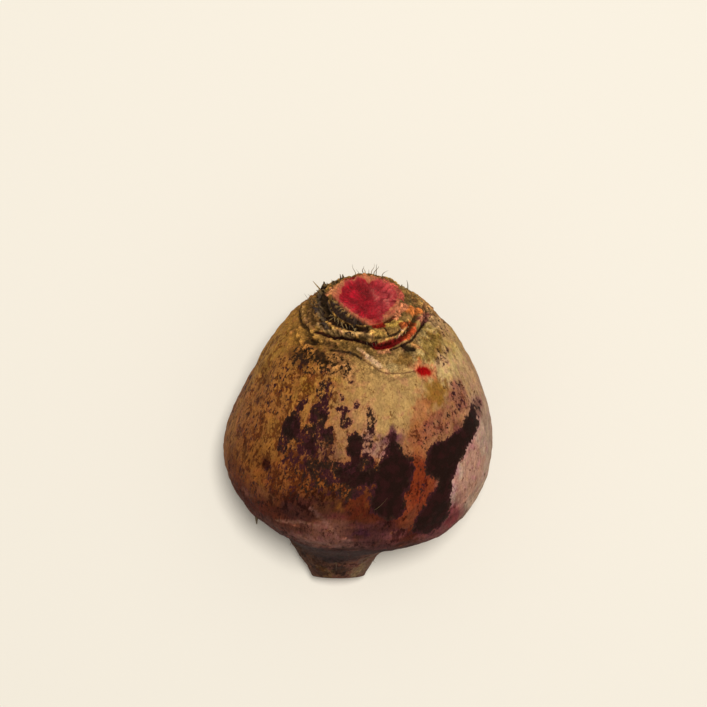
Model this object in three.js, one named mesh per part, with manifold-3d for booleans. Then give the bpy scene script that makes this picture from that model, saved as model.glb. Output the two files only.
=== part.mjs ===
// A trimmed beetroot, lying on its belly and on the cut end of its tap root.
// Millimetres. X runs across the root, Y towards the crown end, Z up; the surface it lies on is Z = 0.
//
// The root is one grown piece: a globe that narrows to the cut crown at one end and to the tap root at
// the other. A place on it is given by its station, measured along the root's own axis from the cut
// crown, and by its angle round that axis, where 90 degrees is the side that faces up.
import * as THREE from "three";
import { mergeVertices } from "three/addons/utils/BufferGeometryUtils.js";
import Module from "manifold-3d";

// Driving dimensions
const AXIS_TILT = THREE.MathUtils.degToRad(37); // root axis above the surface, crown end up
const BELLY_STATION = 54; // the widest place, from the cut crown
const BELLY_RADIUS = 42.2;
const BELLY_HEIGHT = 37.6; // its centre above the surface, a little less than what would just touch
const CROWN_RADIUS = 10.3; // of the knife cut through the leaf bases
const CROWN_SLANT = 0.16; // slope of that cut towards the upper side
const CROWN_SLANT_FADES = 9; // station where the rings stand square to the axis again
const CROWN_ASIDE = 2.4; // the crown sits a little to +X of the belly
const TAP_ASIDE = -6.1; // and the tap root to -X
const TAP_BEND = 4.5; // the tap root bends up along the surface by this much in its last 30 mm
const TRIM_Y = -46.2; // upright knife cut through the tap root, from the belly's centre
const PLAN_MIDDLE = { x: 0.28, y: 4.67 }; // middle of the part in plan, from the belly's centre

// Outline of the root: station and radius, crown to tap root
const OUTLINE = [
  [0, CROWN_RADIUS],
  [2, 12.9],
  [5, 16.9],
  [9, 22.2],
  [14, 26.4],
  [22, 31.1],
  [32, 35.8],
  [43, 39.9],
  [BELLY_STATION, BELLY_RADIUS],
  [64, 40.4],
  [74, 31.4],
  [84, 22.3],
  [94, 15.9],
  [104, 10.6],
  [115, 7],
  [126, 5],
].map(([station, radius]) => new THREE.Vector2(station, radius));

// Old leaf bases round the crown. Each is a crescent: its middle's angle in degrees and station, half its
// length in degrees, how far its ends bend back to the crown, its lip's height and its crevice's depth.
const LEAF_BASES = [
  { angle: 128, station: 1.9, span: 74, bend: 0.3, lip: 1.9, crevice: 1.4 }, // thick sheath, upper left
  { angle: 46, station: 3.4, span: 52, bend: 1.2, lip: 1.3, crevice: 1.6 }, // torn one, upper right
  { angle: 62, station: 10.4, span: 46, bend: 6.5, lip: 0.7, crevice: 0.5 },
  { angle: 152, station: 5.2, span: 42, bend: 1.5, lip: 0.9, crevice: 0.7 },
  { angle: 140, station: 8.2, span: 42, bend: 1.5, lip: 0.6, crevice: 0.5 },
  { angle: 188, station: 3.0, span: 40, bend: 0.9, lip: 1.2, crevice: 0.8 },
  { angle: 226, station: 4.6, span: 46, bend: 1.5, lip: 1.3, crevice: 0.9 },
  { angle: 290, station: 2.8, span: 60, bend: 1.2, lip: 1.3, crevice: 0.9 },
  { angle: 350, station: 5.4, span: 40, bend: 1.5, lip: 1.1, crevice: 1.0 },
  { angle: 252, station: 7.6, span: 48, bend: 1.8, lip: 0.9, crevice: 0.7 },
  { angle: 318, station: 8.8, span: 42, bend: 1.8, lip: 0.8, crevice: 0.6 },
  { angle: 282, station: 11.8, span: 40, bend: 2.2, lip: 0.5, crevice: 0.4 },
];
const LIP_ABOVE = 1.7; // how far a lip swells on its crown side, and how soon it drops on the other
const LIP_BELOW = 0.65;
const CREVICE_WIDTH = 0.75;

// Swellings and dents: angle in degrees, station, height out of the skin, half-widths round and along
const SWELLINGS = [
  { angle: 12, station: 1.9, height: 1.2, round: 13, along: 1.1 }, // fleshy leaf bases right of the cut
  { angle: 14, station: 4.2, height: 0.8, round: 12, along: 1.2 },
  { angle: 52, station: 1.6, height: 0.9, round: 10, along: 0.9 },
  { angle: 82, station: 1.3, height: 0.7, round: 12, along: 0.8 },
  { angle: 160, station: 0.8, height: -1.9, round: 24, along: 0.6 }, // gap between the cut and the sheath
  { angle: 116, station: 0.7, height: -1.4, round: 20, along: 0.5 },
  { angle: 48, station: 6.8, height: -1.0, round: 6, along: 1.0 }, // pit and small nick
  { angle: 46, station: 12.4, height: -0.5, round: 5, along: 1.5 },
  { angle: 122, station: 53, height: -0.7, round: 7, along: 3.5 }, // healed dents and a corky knob
  { angle: 138, station: 43, height: -0.6, round: 4, along: 2.5 },
  { angle: 74, station: 59, height: 0.8, round: 6, along: 4 },
  { angle: 52, station: 67, height: 1.0, round: 22, along: 6 }, // fuller towards the tap root on the right
  { angle: 250, station: 30, height: -0.9, round: 24, along: 9 }, // broad ones on the lower side
  { angle: 325, station: 46, height: 0.9, round: 20, along: 10 },
];

// Dry bristles of the old leaf bases grow in tufts: where, how far round, how many, and how long. They
// stand along the skin's outward direction, turned towards the crown by their lean.
const TUFTS = [
  { angle: 272, station: 1.0, spread: 22, count: 9, length: 3.4, lean: 1.1 },
  { angle: 330, station: 1.8, spread: 30, count: 8, length: 2.4, lean: 0.5 },
  { angle: 128, station: 0.9, spread: 34, count: 9, length: 2.2, lean: -0.7 },
  { angle: 188, station: 3.2, spread: 10, count: 3, length: 4.0, lean: 0.5 },
  { angle: 84, station: 6.6, spread: 30, count: 6, length: 1.7, lean: -0.3 },
  { angle: 225, station: 3.4, spread: 30, count: 6, length: 2.6, lean: 0.6 },
];
const ROOTLETS = [
  { angle: 141, station: 64, length: 4.2 },
  { angle: 163, station: 80, length: 3.6 },
  { angle: 20, station: 86, length: 3.8 },
  { angle: 95, station: 97, length: 3.2 },
  { angle: 250, station: 74, length: 3.4 },
  { angle: 318, station: 92, length: 4.0 },
  { angle: 205, station: 94, length: 3.6 },
];
const BRISTLE_RADIUS = 0.42;
const ROOTLET_RADIUS = 0.5;
const ROOTED = 1.3; // how deep bristles and rootlets go under the skin

// Fineness of the facets
const ROUND_STEPS = 80;
const RINGS = 52;
const CROWDING = 1.35; // rings lie closer together towards the crown
const CROWN_RINGS = 4;
const TRIM_RINGS = 2;

const ALONG = new THREE.Vector3(0, Math.cos(AXIS_TILT), Math.sin(AXIS_TILT)); // towards the crown
const UPPER = new THREE.Vector3(0, -Math.sin(AXIS_TILT), Math.cos(AXIS_TILT)); // out of the upper side
const ACROSS = new THREE.Vector3(1, 0, 0);
const outline = new THREE.SplineCurve(OUTLINE);
const { smoothstep, clamp, degToRad, euclideanModulo, lerp } = THREE.MathUtils;

// A repeatable draw between 0 and 1
let drawn = 20731;
function draw() {
  drawn = (drawn * 48271) % 2147483647;
  return drawn / 2147483647;
}

function angleBetween(a, b) {
  return euclideanModulo(a - b + Math.PI, 2 * Math.PI) - Math.PI;
}

// Broad lobes of the globe, as a share of its radius, and soft furrows that run down from the leaf bases
function lobes(station, angle, radius) {
  const body = smoothstep(station, 2, 20) * (1 - smoothstep(station, 92, 112));
  const shoulder = smoothstep(station, 8, 16) * (1 - smoothstep(station, 24, 46));
  const share =
    0.009 * Math.sin(2 * angle + 0.5) +
    0.007 * Math.sin(3 * angle + 0.03 * station) +
    0.005 * Math.sin(5 * angle - 0.05 * station + 1.3);
  return body * share * radius + shoulder * 0.28 * Math.sin(13 * angle + 2.1 * Math.sin(2 * angle));
}

function swellings(station, angle) {
  let height = 0;
  for (const s of SWELLINGS) {
    const round = angleBetween(angle, degToRad(s.angle)) / degToRad(s.round);
    const along = (station - s.station) / s.along;
    height += s.height * Math.exp(-round * round - along * along);
  }
  return height;
}

// A leaf base swells gently from the crown side, ends in a lip, and drops into a crevice behind it. The
// highest lip and the deepest crevice show where several overlap.
function leafBases(station, angle) {
  let lip = 0;
  let crevice = 0;
  for (const base of LEAF_BASES) {
    const turn = angleBetween(angle, degToRad(base.angle)) / degToRad(base.span);
    if (Math.abs(turn) >= 1) continue;
    const taper = Math.cos((turn * Math.PI) / 2) ** 0.7;
    const edge = base.station - base.bend * turn * turn + 0.35 * Math.sin(5 * angle + base.angle);
    const past = station - edge;
    const rise = Math.exp(-((past / (past < 0 ? LIP_ABOVE : LIP_BELOW)) ** 2));
    const drop = Math.exp(-(((past - 1.6 * LIP_BELOW) / CREVICE_WIDTH) ** 2));
    lip = Math.max(lip, base.lip * taper * rise);
    crevice = Math.max(crevice, base.crevice * taper * drop);
  }
  return lip - crevice;
}

// A point of the skin, from a place along the outline and an angle. Relief stands square to the outline.
function skinPoint(t, angle) {
  const { x: station, y: radius } = outline.getPoint(t);
  const { x: run, y: climb } = outline.getTangent(t);
  const relief = lobes(station, angle, radius) + swellings(station, angle) + leafBases(station, angle);
  const slant = CROWN_SLANT * radius * Math.sin(angle) * (1 - smoothstep(station, 0, CROWN_SLANT_FADES));
  const out = radius + relief * run;
  const back = station + slant - relief * climb;
  const aside =
    CROWN_ASIDE * (1 - smoothstep(station, 30, 60)) + TAP_ASIDE * smoothstep(station, 66, 98);
  const bend = TAP_BEND * clamp((station - 84) / 30, 0, 2) ** 2;
  return new THREE.Vector3(0, 0, BELLY_HEIGHT)
    .addScaledVector(ALONG, BELLY_STATION - back)
    .addScaledVector(ACROSS, aside + out * Math.cos(angle))
    .addScaledVector(UPPER, bend + out * Math.sin(angle));
}

// Where along the outline the skin meets the tap root's upright cut, by halving
function tapEnd(angle) {
  let low = 0.7;
  let high = 1;
  for (let i = 0; i < 24; i++) {
    const middle = (low + high) / 2;
    if (skinPoint(middle, angle).y > TRIM_Y) low = middle;
    else high = middle;
  }
  return high;
}

// The closed skin: the rings of the crown's cut, of the root, and of the tap root's cut
function rootSkin() {
  const rings = [];
  const angles = Array.from({ length: ROUND_STEPS }, (_, i) => (i * 2 * Math.PI) / ROUND_STEPS);
  const ends = angles.map(tapEnd);
  const body = (v) => angles.map((angle, i) => skinPoint(ends[i] * v ** CROWDING, angle));
  const crown = body(0);
  const tap = body(1);
  const middle = (ring) => ring.reduce((sum, p) => sum.add(p), new THREE.Vector3()).divideScalar(ROUND_STEPS);
  const crownMiddle = middle(crown);
  const tapMiddle = middle(tap);
  const inward = (ring, centre, share, rise) =>
    ring.map((p, i) =>
      p
        .clone()
        .lerp(centre, share)
        .addScaledVector(ALONG, rise * Math.sin(3 * angles[i] + 5 * share) * share * (1 - share)),
    );
  for (let i = CROWN_RINGS - 1; i > 0; i--) rings.push(inward(crown, crownMiddle, i / CROWN_RINGS, 1.6));
  for (let i = 0; i <= RINGS; i++) rings.push(body(i / RINGS));
  for (let i = 1; i < TRIM_RINGS; i++) rings.push(inward(tap, tapMiddle, i / TRIM_RINGS, 0));
  const points = [crownMiddle, ...rings.flat(), tapMiddle];
  const faces = [];
  const at = (ring, i) => 1 + ring * ROUND_STEPS + (i % ROUND_STEPS);
  const last = points.length - 1;
  for (let i = 0; i < ROUND_STEPS; i++) {
    faces.push(0, at(0, i + 1), at(0, i));
    for (let r = 0; r + 1 < rings.length; r++) {
      faces.push(at(r, i), at(r + 1, i + 1), at(r + 1, i));
      faces.push(at(r, i), at(r, i + 1), at(r + 1, i + 1));
    }
    faces.push(at(rings.length - 1, i), at(rings.length - 1, i + 1), last);
  }
  return new THREE.BufferGeometry().setFromPoints(points).setIndex(faces);
}

// A three-sided bristle that grows from a place on the skin and curves over
function bristle(t, angle, length, lean, curl, radius = BRISTLE_RADIUS) {
  const shape = new THREE.ConeGeometry(radius, length + ROOTED, 3, 2);
  const place = shape.attributes.position;
  for (let i = 0; i < place.count; i++) {
    const up = place.getY(i) + (length + ROOTED) / 2 - ROOTED;
    const share = clamp(up / length, 0, 1);
    place.setXYZ(i, place.getX(i) + curl * length * share * share, up, place.getZ(i));
  }
  const root = skinPoint(t, angle);
  const outward = new THREE.Vector3()
    .addScaledVector(ACROSS, Math.cos(angle))
    .addScaledVector(UPPER, Math.sin(angle))
    .addScaledVector(ALONG, lean)
    .normalize();
  const turn = new THREE.Quaternion().setFromUnitVectors(new THREE.Vector3(0, 1, 0), outward);
  return shape.applyQuaternion(turn).translate(root.x, root.y, root.z);
}

function placeOf(station) {
  let t = 0;
  while (t < 1 && outline.getPoint(t).x < station) t += 0.002;
  return t;
}

function bristles() {
  return TUFTS.flatMap(({ angle, station, spread, count, length, lean }) =>
    Array.from({ length: count }, (_, i) => {
      const turn = angle + (2 * ((i + draw()) / count) - 1) * spread;
      const place = placeOf(station + 0.9 * (draw() - 0.5));
      return bristle(place, degToRad(turn), length * (0.7 + 0.6 * draw()), lean, draw() - 0.5);
    }),
  );
}

function rootlets() {
  return ROOTLETS.map(({ angle, station, length }) =>
    bristle(placeOf(station), degToRad(angle), length, -0.9, 0.35, ROOTLET_RADIUS),
  );
}

const wasm = await Module();
wasm.setup();

function toSolid(geometry) {
  const bare = geometry.clone();
  bare.deleteAttribute("normal");
  bare.deleteAttribute("uv");
  const merged = mergeVertices(bare, 1e-4);
  return new wasm.Manifold(
    new wasm.Mesh({
      numProp: 3,
      vertProperties: merged.attributes.position.array,
      triVerts: new Uint32Array(merged.index.array),
    }),
  );
}

function toGeometry(solid) {
  const { vertProperties, triVerts } = solid.getMesh();
  return new THREE.BufferGeometry()
    .setAttribute("position", new THREE.BufferAttribute(vertProperties, 3))
    .setIndex(new THREE.BufferAttribute(triVerts, 1));
}

// Everything below the surface is taken off, which leaves the belly's small flat spot and the tap root's
function belowSurface() {
  const size = 3 * BELLY_RADIUS;
  return toSolid(new THREE.BoxGeometry(size, size, BELLY_RADIUS).translate(0, 0, -BELLY_RADIUS / 2));
}

function beetroot() {
  const grown = [...bristles(), ...rootlets()].reduce((sum, g) => sum.add(toSolid(g)), toSolid(rootSkin()));
  const geometry = toGeometry(grown.subtract(belowSurface()));
  geometry.translate(-PLAN_MIDDLE.x, -PLAN_MIDDLE.y, 0);
  geometry.computeVertexNormals();
  const skin = new THREE.MeshStandardMaterial({ color: 0x7a4a2c, roughness: 0.7, metalness: 0 });
  const mesh = new THREE.Mesh(geometry, skin);
  mesh.name = "beetroot";
  return mesh;
}

const part = new THREE.Group();
part.add(beetroot());

export default part;
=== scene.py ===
"""A large beetroot, lying on its belly and on the cut end of its tap root.

Shapes are worked out in millimetres. A place on the root is given by its station, measured along the
root's own axis from the cut crown to the tap root, and by its angle round that axis, where 90 degrees
is the side that faces up and 0 degrees is +X. The outline and the swellings are the solid's, and so
are the leaf bases, but with sharper lips and one of them lower; finer relief is laid on top of them.
"""

import bpy
import numpy as np
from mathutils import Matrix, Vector


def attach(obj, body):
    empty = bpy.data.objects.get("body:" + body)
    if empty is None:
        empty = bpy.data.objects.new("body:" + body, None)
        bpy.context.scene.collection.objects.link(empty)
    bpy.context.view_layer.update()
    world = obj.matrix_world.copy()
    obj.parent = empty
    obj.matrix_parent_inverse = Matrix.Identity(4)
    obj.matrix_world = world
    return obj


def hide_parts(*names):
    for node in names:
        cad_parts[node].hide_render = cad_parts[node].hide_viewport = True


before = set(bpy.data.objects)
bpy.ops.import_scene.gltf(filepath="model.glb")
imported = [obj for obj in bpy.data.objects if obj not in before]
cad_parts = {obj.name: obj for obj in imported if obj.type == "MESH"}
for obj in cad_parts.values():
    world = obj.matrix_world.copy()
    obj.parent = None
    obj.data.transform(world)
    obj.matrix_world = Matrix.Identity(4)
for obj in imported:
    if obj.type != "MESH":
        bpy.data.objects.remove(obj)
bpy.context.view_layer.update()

MM = 0.001

# The root's own measures (mm)

AXIS_TILT = np.radians(37.0)
BELLY_STATION = 54.0
BELLY_HEIGHT = 37.6
CROWN_SLANT = 0.16
CROWN_SLANT_FADES = 9.0
CROWN_ASIDE = 2.4
TAP_ASIDE = -6.1
TAP_BEND = 4.5
TRIM_Y = -46.2
PLAN_MIDDLE = np.array([0.28, 4.67])

# the knife cut across the crown, and how deep its middle lies
CUT_RADIUS = 10.3
CUT_DISH = 0.36

# station and radius of the outline's points
OUTLINE = np.array([
    [0, CUT_RADIUS], [2, 12.9], [5, 16.9], [9, 22.2], [14, 26.4], [22, 31.1], [32, 35.8],
    [43, 39.9], [BELLY_STATION, 42.2], [64, 40.4], [74, 31.4], [84, 22.3], [94, 15.9], [104, 10.6],
    [115, 7.0], [126, 5.0]])

# middle's angle and station, half length in degrees, bend of the ends, lip height, crevice depth
LEAF_BASES = [
    (128, 1.9, 74, 0.3, 1.9, 1.4), (46, 3.4, 52, 1.2, 1.3, 1.6), (58, 11.2, 44, 8.5, 0.3, 0.25),
    (152, 5.2, 42, 1.5, 0.9, 0.7), (140, 8.2, 42, 1.5, 0.6, 0.5), (188, 3.0, 40, 0.9, 1.2, 0.8),
    (226, 4.6, 46, 1.5, 1.3, 0.9), (290, 2.8, 60, 1.2, 1.3, 0.9), (350, 5.4, 40, 1.5, 1.1, 1.0),
    (252, 7.6, 48, 1.8, 0.9, 0.7), (318, 8.8, 42, 1.8, 0.8, 0.6), (282, 11.8, 40, 2.2, 0.5, 0.4)]
LIP_ABOVE = 1.7
LIP_BELOW = 0.42
CREVICE_WIDTH = 0.6

# bumps and hollows: angle, station, height, half width round in degrees, half width along
SWELLINGS = [
    (12, 1.9, 1.2, 13, 1.1), (14, 4.2, 0.8, 12, 1.2), (52, 1.6, 0.9, 10, 0.9), (82, 1.3, 0.7, 12, 0.8),
    (160, 0.8, -1.9, 24, 0.6), (116, 0.7, -1.4, 20, 0.5), (48, 6.8, -1.0, 6, 1.0),
    (46, 12.4, -0.5, 5, 1.5), (122, 53, -0.7, 7, 3.5), (138, 43, -0.6, 4, 2.5), (74, 59, 0.8, 6, 4),
    (52, 67, 1.0, 22, 6), (250, 30, -0.9, 24, 9), (325, 46, 0.9, 20, 10)]

TUFTS = [  # bristles: angle, station, spread in degrees, count, length, lean towards the crown
    (272, 2.0, 15, 9, 3.4, 0.9), (328, 3.2, 22, 10, 2.3, 0.5), (128, 0.9, 34, 16, 2.2, -0.7),
    (188, 3.2, 10, 3, 4.0, 0.5), (84, 6.6, 30, 8, 1.7, -0.3), (222, 3.4, 20, 6, 2.4, 0.6)]
ROOTLETS = [  # angle, station, length, curl, radius
    (163, 80, 3.6, 0.3, 0.3), (20, 86, 3.8, 0.2, 0.3), (95, 90, 3.2, 0.4, 0.24),
    (250, 74, 3.4, 0.3, 0.32), (318, 92, 4.0, 0.2, 0.32), (205, 94, 3.6, 0.5, 0.3)]
SMALL_ROOTLETS = 40
ROOTED = 0.6  # mm that bristles and rootlets start under the skin

STRANDS = [  # single hairs: angle, station, offsets (mm) of the bend and of the tip, radius, pale share
    (218, 4.6, (-1.2, 1.3, 1.4), (-2.6, 2.9, 1.8), 0.26, 1.0),
    (216, 4.4, (-0.8, -0.6, 0.8), (-1.4, -2.4, 0.4), 0.2, 0.6),
    (305, 0.6, (-2.4, 2.6, 1.6), (0.9, 3.6, 1.6), 0.17, 0.25),
    (312, 7.0, (0.5, 1.6, 1.4), (-0.1, 3.6, 1.8), 0.2, 0.3),
    (322, 6.6, (0.8, 0.6, 0.8), (1.5, -0.6, 1.2), 0.13, 0.8),
    (112, 0.2, (0.8, -1.0, 0.7), (1.2, -2.4, 0.5), 0.11, 1.0),
    (142, 0.2, (0.3, -1.0, 0.8), (0.2, -2.2, 0.5), 0.22, 0.7),
    (133, 0.2, (0.1, -0.9, 0.8), (0.5, -2.0, 0.6), 0.24, 0.75),
    (124, 0.3, (0.3, -0.8, 0.8), (0.7, -1.9, 0.6), 0.2, 0.7),
    (150, 0.3, (-0.2, -0.9, 0.7), (0.1, -2.4, 0.4), 0.2, 0.6),
    (60, 3.6, (0.7, 0.6, 0.8), (1.9, 1.0, 0.6), 0.1, 1.0),
    (88, 2.6, (0.2, -0.8, 0.5), (0.3, -2.0, 0.3), 0.14, 0.2),
    (82, 2.8, (0.2, -0.7, 0.5), (0.5, -1.9, 0.3), 0.12, 0.1),
    (77, 2.8, (0.1, -0.7, 0.5), (0.2, -1.7, 0.3), 0.12, 0.3),
    (72, 2.9, (0.2, -0.6, 0.5), (0.5, -1.6, 0.3), 0.1, 0.2),
    (163, 92, (-1.2, 0.4, 0.4), (-2.6, 1.8, -0.2), 0.08, 0.9),
    (84.8, 48.0, (2.5, 1.3, 1.6), (4.6, 4.2, 1.4), 0.08, 0.25),
    (141, 63.2, (0.1, -1.5, 0.0), (0.1, -3.2, -0.2), 0.62, 0.12)]

SHEATHS = [  # papery strips: angle, spread in degrees, station, count, length, lean, dark share
    (162, 20, 1.9, 6, 2.7, 1.2, 0.95), (122, 20, 1.4, 3, 1.0, 0.5, 0.95),
    (322, 20, 5.2, 10, 1.6, 0.8, 0.45), (226, 24, 3.6, 5, 2.2, 0.9, 0.8), (38, 26, 3.2, 4, 1.0, 0.5, 0.35)]
SHEATH_WALL = 0.22

# fineness of the finished surface
ROUND_STEPS = 380
CROWN_CUT_ROWS = 36
SHOULDER_ROWS = 88
BODY_ROWS = 126
TAP_CUT_ROWS = 10
SHOULDER_SHARE = 0.30  # of the way along the outline

# the finished skin's fine relief: height (mm), size of its features (mm), seed
FINE_RELIEF = {
    "uneven": (0.26, 8.0, 7), "cork": (0.13, (1.8, 1.8, 2.6), 9), "furrow": (0.16, (1.5, 1.5, 11.0), 13),
    "wood": (0.34, (1.7, 1.7, 2.4), 15), "fibre": (0.26, (0.5, 0.5, 3.0), 19),
    "tap ridge": (0.25, (1.4, 1.4, 7.0), 21)}
CORK_THICKNESS = 0.10
FOOT_WRINKLE = 0.09

# large odd numbers that scramble whole numbers for the noise
CORNER_PRIMES = (73856093, 19349663, 83492791)
SEED_PRIME = 2654435761
MIXERS = (1274126177, 2246822519)

# the root's own directions
ACROSS = np.array([1.0, 0.0, 0.0])
ALONG = np.array([0.0, np.cos(AXIS_TILT), np.sin(AXIS_TILT)])
UPPER = np.array([0.0, -np.sin(AXIS_TILT), np.cos(AXIS_TILT)])

# Colours


def paint(red, green, blue):
    """A screen colour as linear light: each channel / 255, through the usual 2.4 power curve."""
    c = np.array([red, green, blue]) / 255.0
    return np.where(c <= 0.04045, c / 12.92, ((c + 0.055) / 1.055) ** 2.4)


# as seen in daylight, 0 to 255
PAINTS = {
    "straw": (166, 130, 78), "honey": (190, 161, 104), "tan": (158, 114, 56), "fawn": (176, 137, 97),
    "toast": (150, 106, 66), "ochre": (166, 120, 56), "bronze": (152, 105, 43), "umber": (146, 97, 43),
    "sepia": (122, 73, 30), "russet": (72, 30, 13), "rust": (124, 58, 28), "rose tan": (173, 144, 122),
    "mauve": (110, 68, 55), "clay": (124, 77, 46), "maroon": (70, 30, 19), "plum": (52, 22, 20),
    "bark": (76, 48, 32), "grey rose": (136, 104, 90), "hazel": (148, 102, 56)}

# the skin's ground colour: angle, station, reach round, reach along (mm), paint
SKIN_ZONES = [
    (88, 11, 9, 6, "straw"), (72, 20, 10, 6, "straw"), (10, 14, 9, 7, "honey"), (5, 27, 10, 8, "fawn"),
    (8, 45, 12, 11, "rose tan"), (32, 50, 8, 9, "rose tan"), (40, 27, 7, 6, "toast"),
    (58, 28, 7, 5, "toast"), (66, 42, 5, 9, "rust"), (102, 12, 8, 6, "tan"), (124, 14, 8, 6, "bronze"),
    (150, 15, 11, 7, "bronze"), (180, 20, 12, 9, "ochre"), (104, 23, 8, 6, "toast"),
    (128, 25, 9, 6, "umber"), (154, 30, 11, 8, "umber"), (182, 40, 12, 11, "hazel"),
    (148, 43, 14, 7, "sepia"), (106, 42, 9, 6, "sepia"), (91, 47, 6, 5, "russet"),
    (100, 57, 8, 5, "mauve"), (118, 52, 7, 4, "maroon"), (146, 59, 12, 6, "maroon"),
    (84, 57, 8, 5, "plum"), (56, 64, 9, 6, "maroon"), (180, 58, 11, 9, "clay"),
    (16, 66, 12, 8, "rose tan"), (90, 76, 22, 9, "plum"), (112, 96, 10, 12, "bark"),
    (70, 96, 10, 12, "mauve"), (210, 80, 18, 11, "maroon"), (330, 80, 18, 11, "grey rose"),
    (270, 84, 20, 12, "plum"), (270, 106, 22, 10, "bark"), (216, 24, 16, 11, "bronze"),
    (262, 20, 14, 10, "sepia"), (312, 22, 15, 11, "tan"), (222, 48, 16, 12, "sepia"),
    (268, 50, 16, 14, "maroon"), (316, 48, 16, 13, "grey rose")]

# tinted places laid over it in turn: angle, station, half length round, half along (mm), lean in
# degrees, colour, strength
SKIN_TINTS = [
    (43, 19, 5.2, 3.6, 0, (136, 92, 28), 0.85), (48.5, 15.6, 1.6, 1.6, 0, (132, 98, 36), 0.6),
    (12, 11, 6, 4, 0, (156, 126, 58), 0.5), (58, 22, 3.4, 5, -14, (150, 92, 54), 0.8),
    (64.5, 40, 3.2, 11, 0, (112, 46, 18), 0.85), (63, 29, 3.6, 5, 0, (144, 88, 48), 0.8),
    (59, 45, 2.6, 3.6, 0, (108, 48, 24), 0.8), (54.6, 43.6, 1.0, 0.8, 0, (140, 90, 66), 0.8),
    (67.5, 53, 2.4, 4.5, -30, (106, 56, 34), 0.9), (92, 45, 3.4, 5.5, 0, (76, 27, 12), 0.85),
    (105, 43.8, 6.0, 3.0, 0, (54, 26, 14), 0.75), (118, 51.4, 5.4, 3.0, -10, (64, 32, 26), 0.9),
    (109, 48, 8.5, 3.2, 0, (57, 28, 21), 0.8), (160, 50, 5.0, 4.0, 0, (92, 46, 20), 0.6),
    (138.4, 41.7, 1.9, 2.0, 0, (58, 20, 8), 0.95), (160.8, 29, 1.2, 1.7, -10, (62, 24, 10), 0.9),
    (163.6, 35.3, 1.1, 1.6, 0, (66, 28, 12), 0.8), (168, 22, 5.5, 2.2, 0, (90, 54, 20), 0.55),
    (126.8, 16.1, 2.4, 1.6, 0, (126, 84, 26), 0.6), (147, 11, 4.0, 1.6, 0, (76, 48, 22), 0.6),
    (86, 54, 6.0, 3.2, 0, (74, 38, 37), 0.8), (83, 60.0, 8.0, 3.4, 0, (77, 42, 40), 0.75),
    (88, 55.5, 2.4, 1.8, 0, (60, 28, 40), 0.7), (99.5, 49.6, 3.0, 1.2, 0, (92, 42, 36), 0.6),
    (112, 59.3, 1.4, 0.9, 0, (66, 35, 22), 0.7), (115.2, 57.4, 1.2, 0.8, 0, (70, 36, 22), 0.7),
    (90, 27, 3.0, 3.4, 0, (142, 110, 88), 0.6), (82, 28.6, 2.4, 2.8, 0, (138, 102, 88), 0.7),
    (75.5, 26.8, 3.6, 2.0, 0, (104, 62, 62), 0.8), (54, 63.5, 8.0, 4.2, 0, (100, 60, 56), 0.85),
    (73, 57.4, 3.4, 2.1, 0, (88, 47, 45), 0.75), (44.5, 58, 4.4, 7.0, 4, (128, 72, 68), 0.7),
    (46.5, 58.5, 2.8, 5.4, 4, (104, 40, 44), 0.8), (75.5, 25.5, 1.9, 2.2, 0, (80, 40, 48), 0.85),
    (29, 23, 4.4, 4.8, 0, (136, 86, 64), 0.7), (17, 32, 3.6, 3.2, 0, (108, 70, 54), 0.75),
    (14, 36, 2.6, 3.4, 0, (150, 116, 96), 0.5), (34, 47, 7.5, 10, 0, (170, 122, 102), 0.75),
    (49.6, 24.5, 5.0, 1.3, 12, (126, 66, 46), 0.6), (50, 28, 6.0, 2.4, 0, (132, 80, 56), 0.65),
    (38.5, 31, 3.0, 1.8, 0, (104, 60, 44), 0.7), (112, 32, 7.0, 5.0, 0, (86, 56, 42), 0.45),
    (88, 29, 2.4, 4.0, 0, (136, 96, 76), 0.5), (150, 53, 8.0, 2.2, 0, (92, 48, 26), 0.5),
    (135, 50, 5.0, 2.4, 0, (92, 56, 38), 0.5), (97, 86, 7.0, 4.6, 0, (48, 29, 31), 0.8),
    (87, 97, 2.6, 3.4, 0, (44, 29, 22), 0.7), (62, 89, 3.0, 4.0, 0, (106, 84, 70), 0.7),
    (61, 99, 2.6, 5.0, 0, (124, 100, 72), 0.85), (40, 100, 3.4, 6.0, 0, (106, 84, 66), 0.7),
    (128, 62, 11, 3.6, 0, (92, 58, 49), 0.6), (104, 61.5, 12, 3.2, 0, (102, 68, 60), 0.6),
    (145, 55, 3.0, 1.4, 0, (112, 76, 56), 0.6), (110, 100, 2.6, 5.0, 0, (98, 72, 40), 0.7),
    (27, 9.2, 7.0, 2.8, 0, (126, 94, 28), 0.75), (56, 8.3, 5.0, 1.5, 0, (112, 76, 26), 0.75),
    (70, 9.0, 2.2, 0.9, 0, (180, 150, 96), 0.7), (131, 5.0, 3.0, 0.8, 0, (92, 62, 32), 0.6),
    (16, 12.3, 0.8, 1.6, 0, (60, 34, 26), 0.8), (31, 12.6, 1.2, 0.6, 40, (70, 40, 30), 0.7),
    (45.5, 12.6, 4.0, 2.4, -23, (184, 104, 66), 0.75), (45.5, 12.6, 2.5, 1.2, -23, (158, 8, 8), 1.0)]

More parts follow.
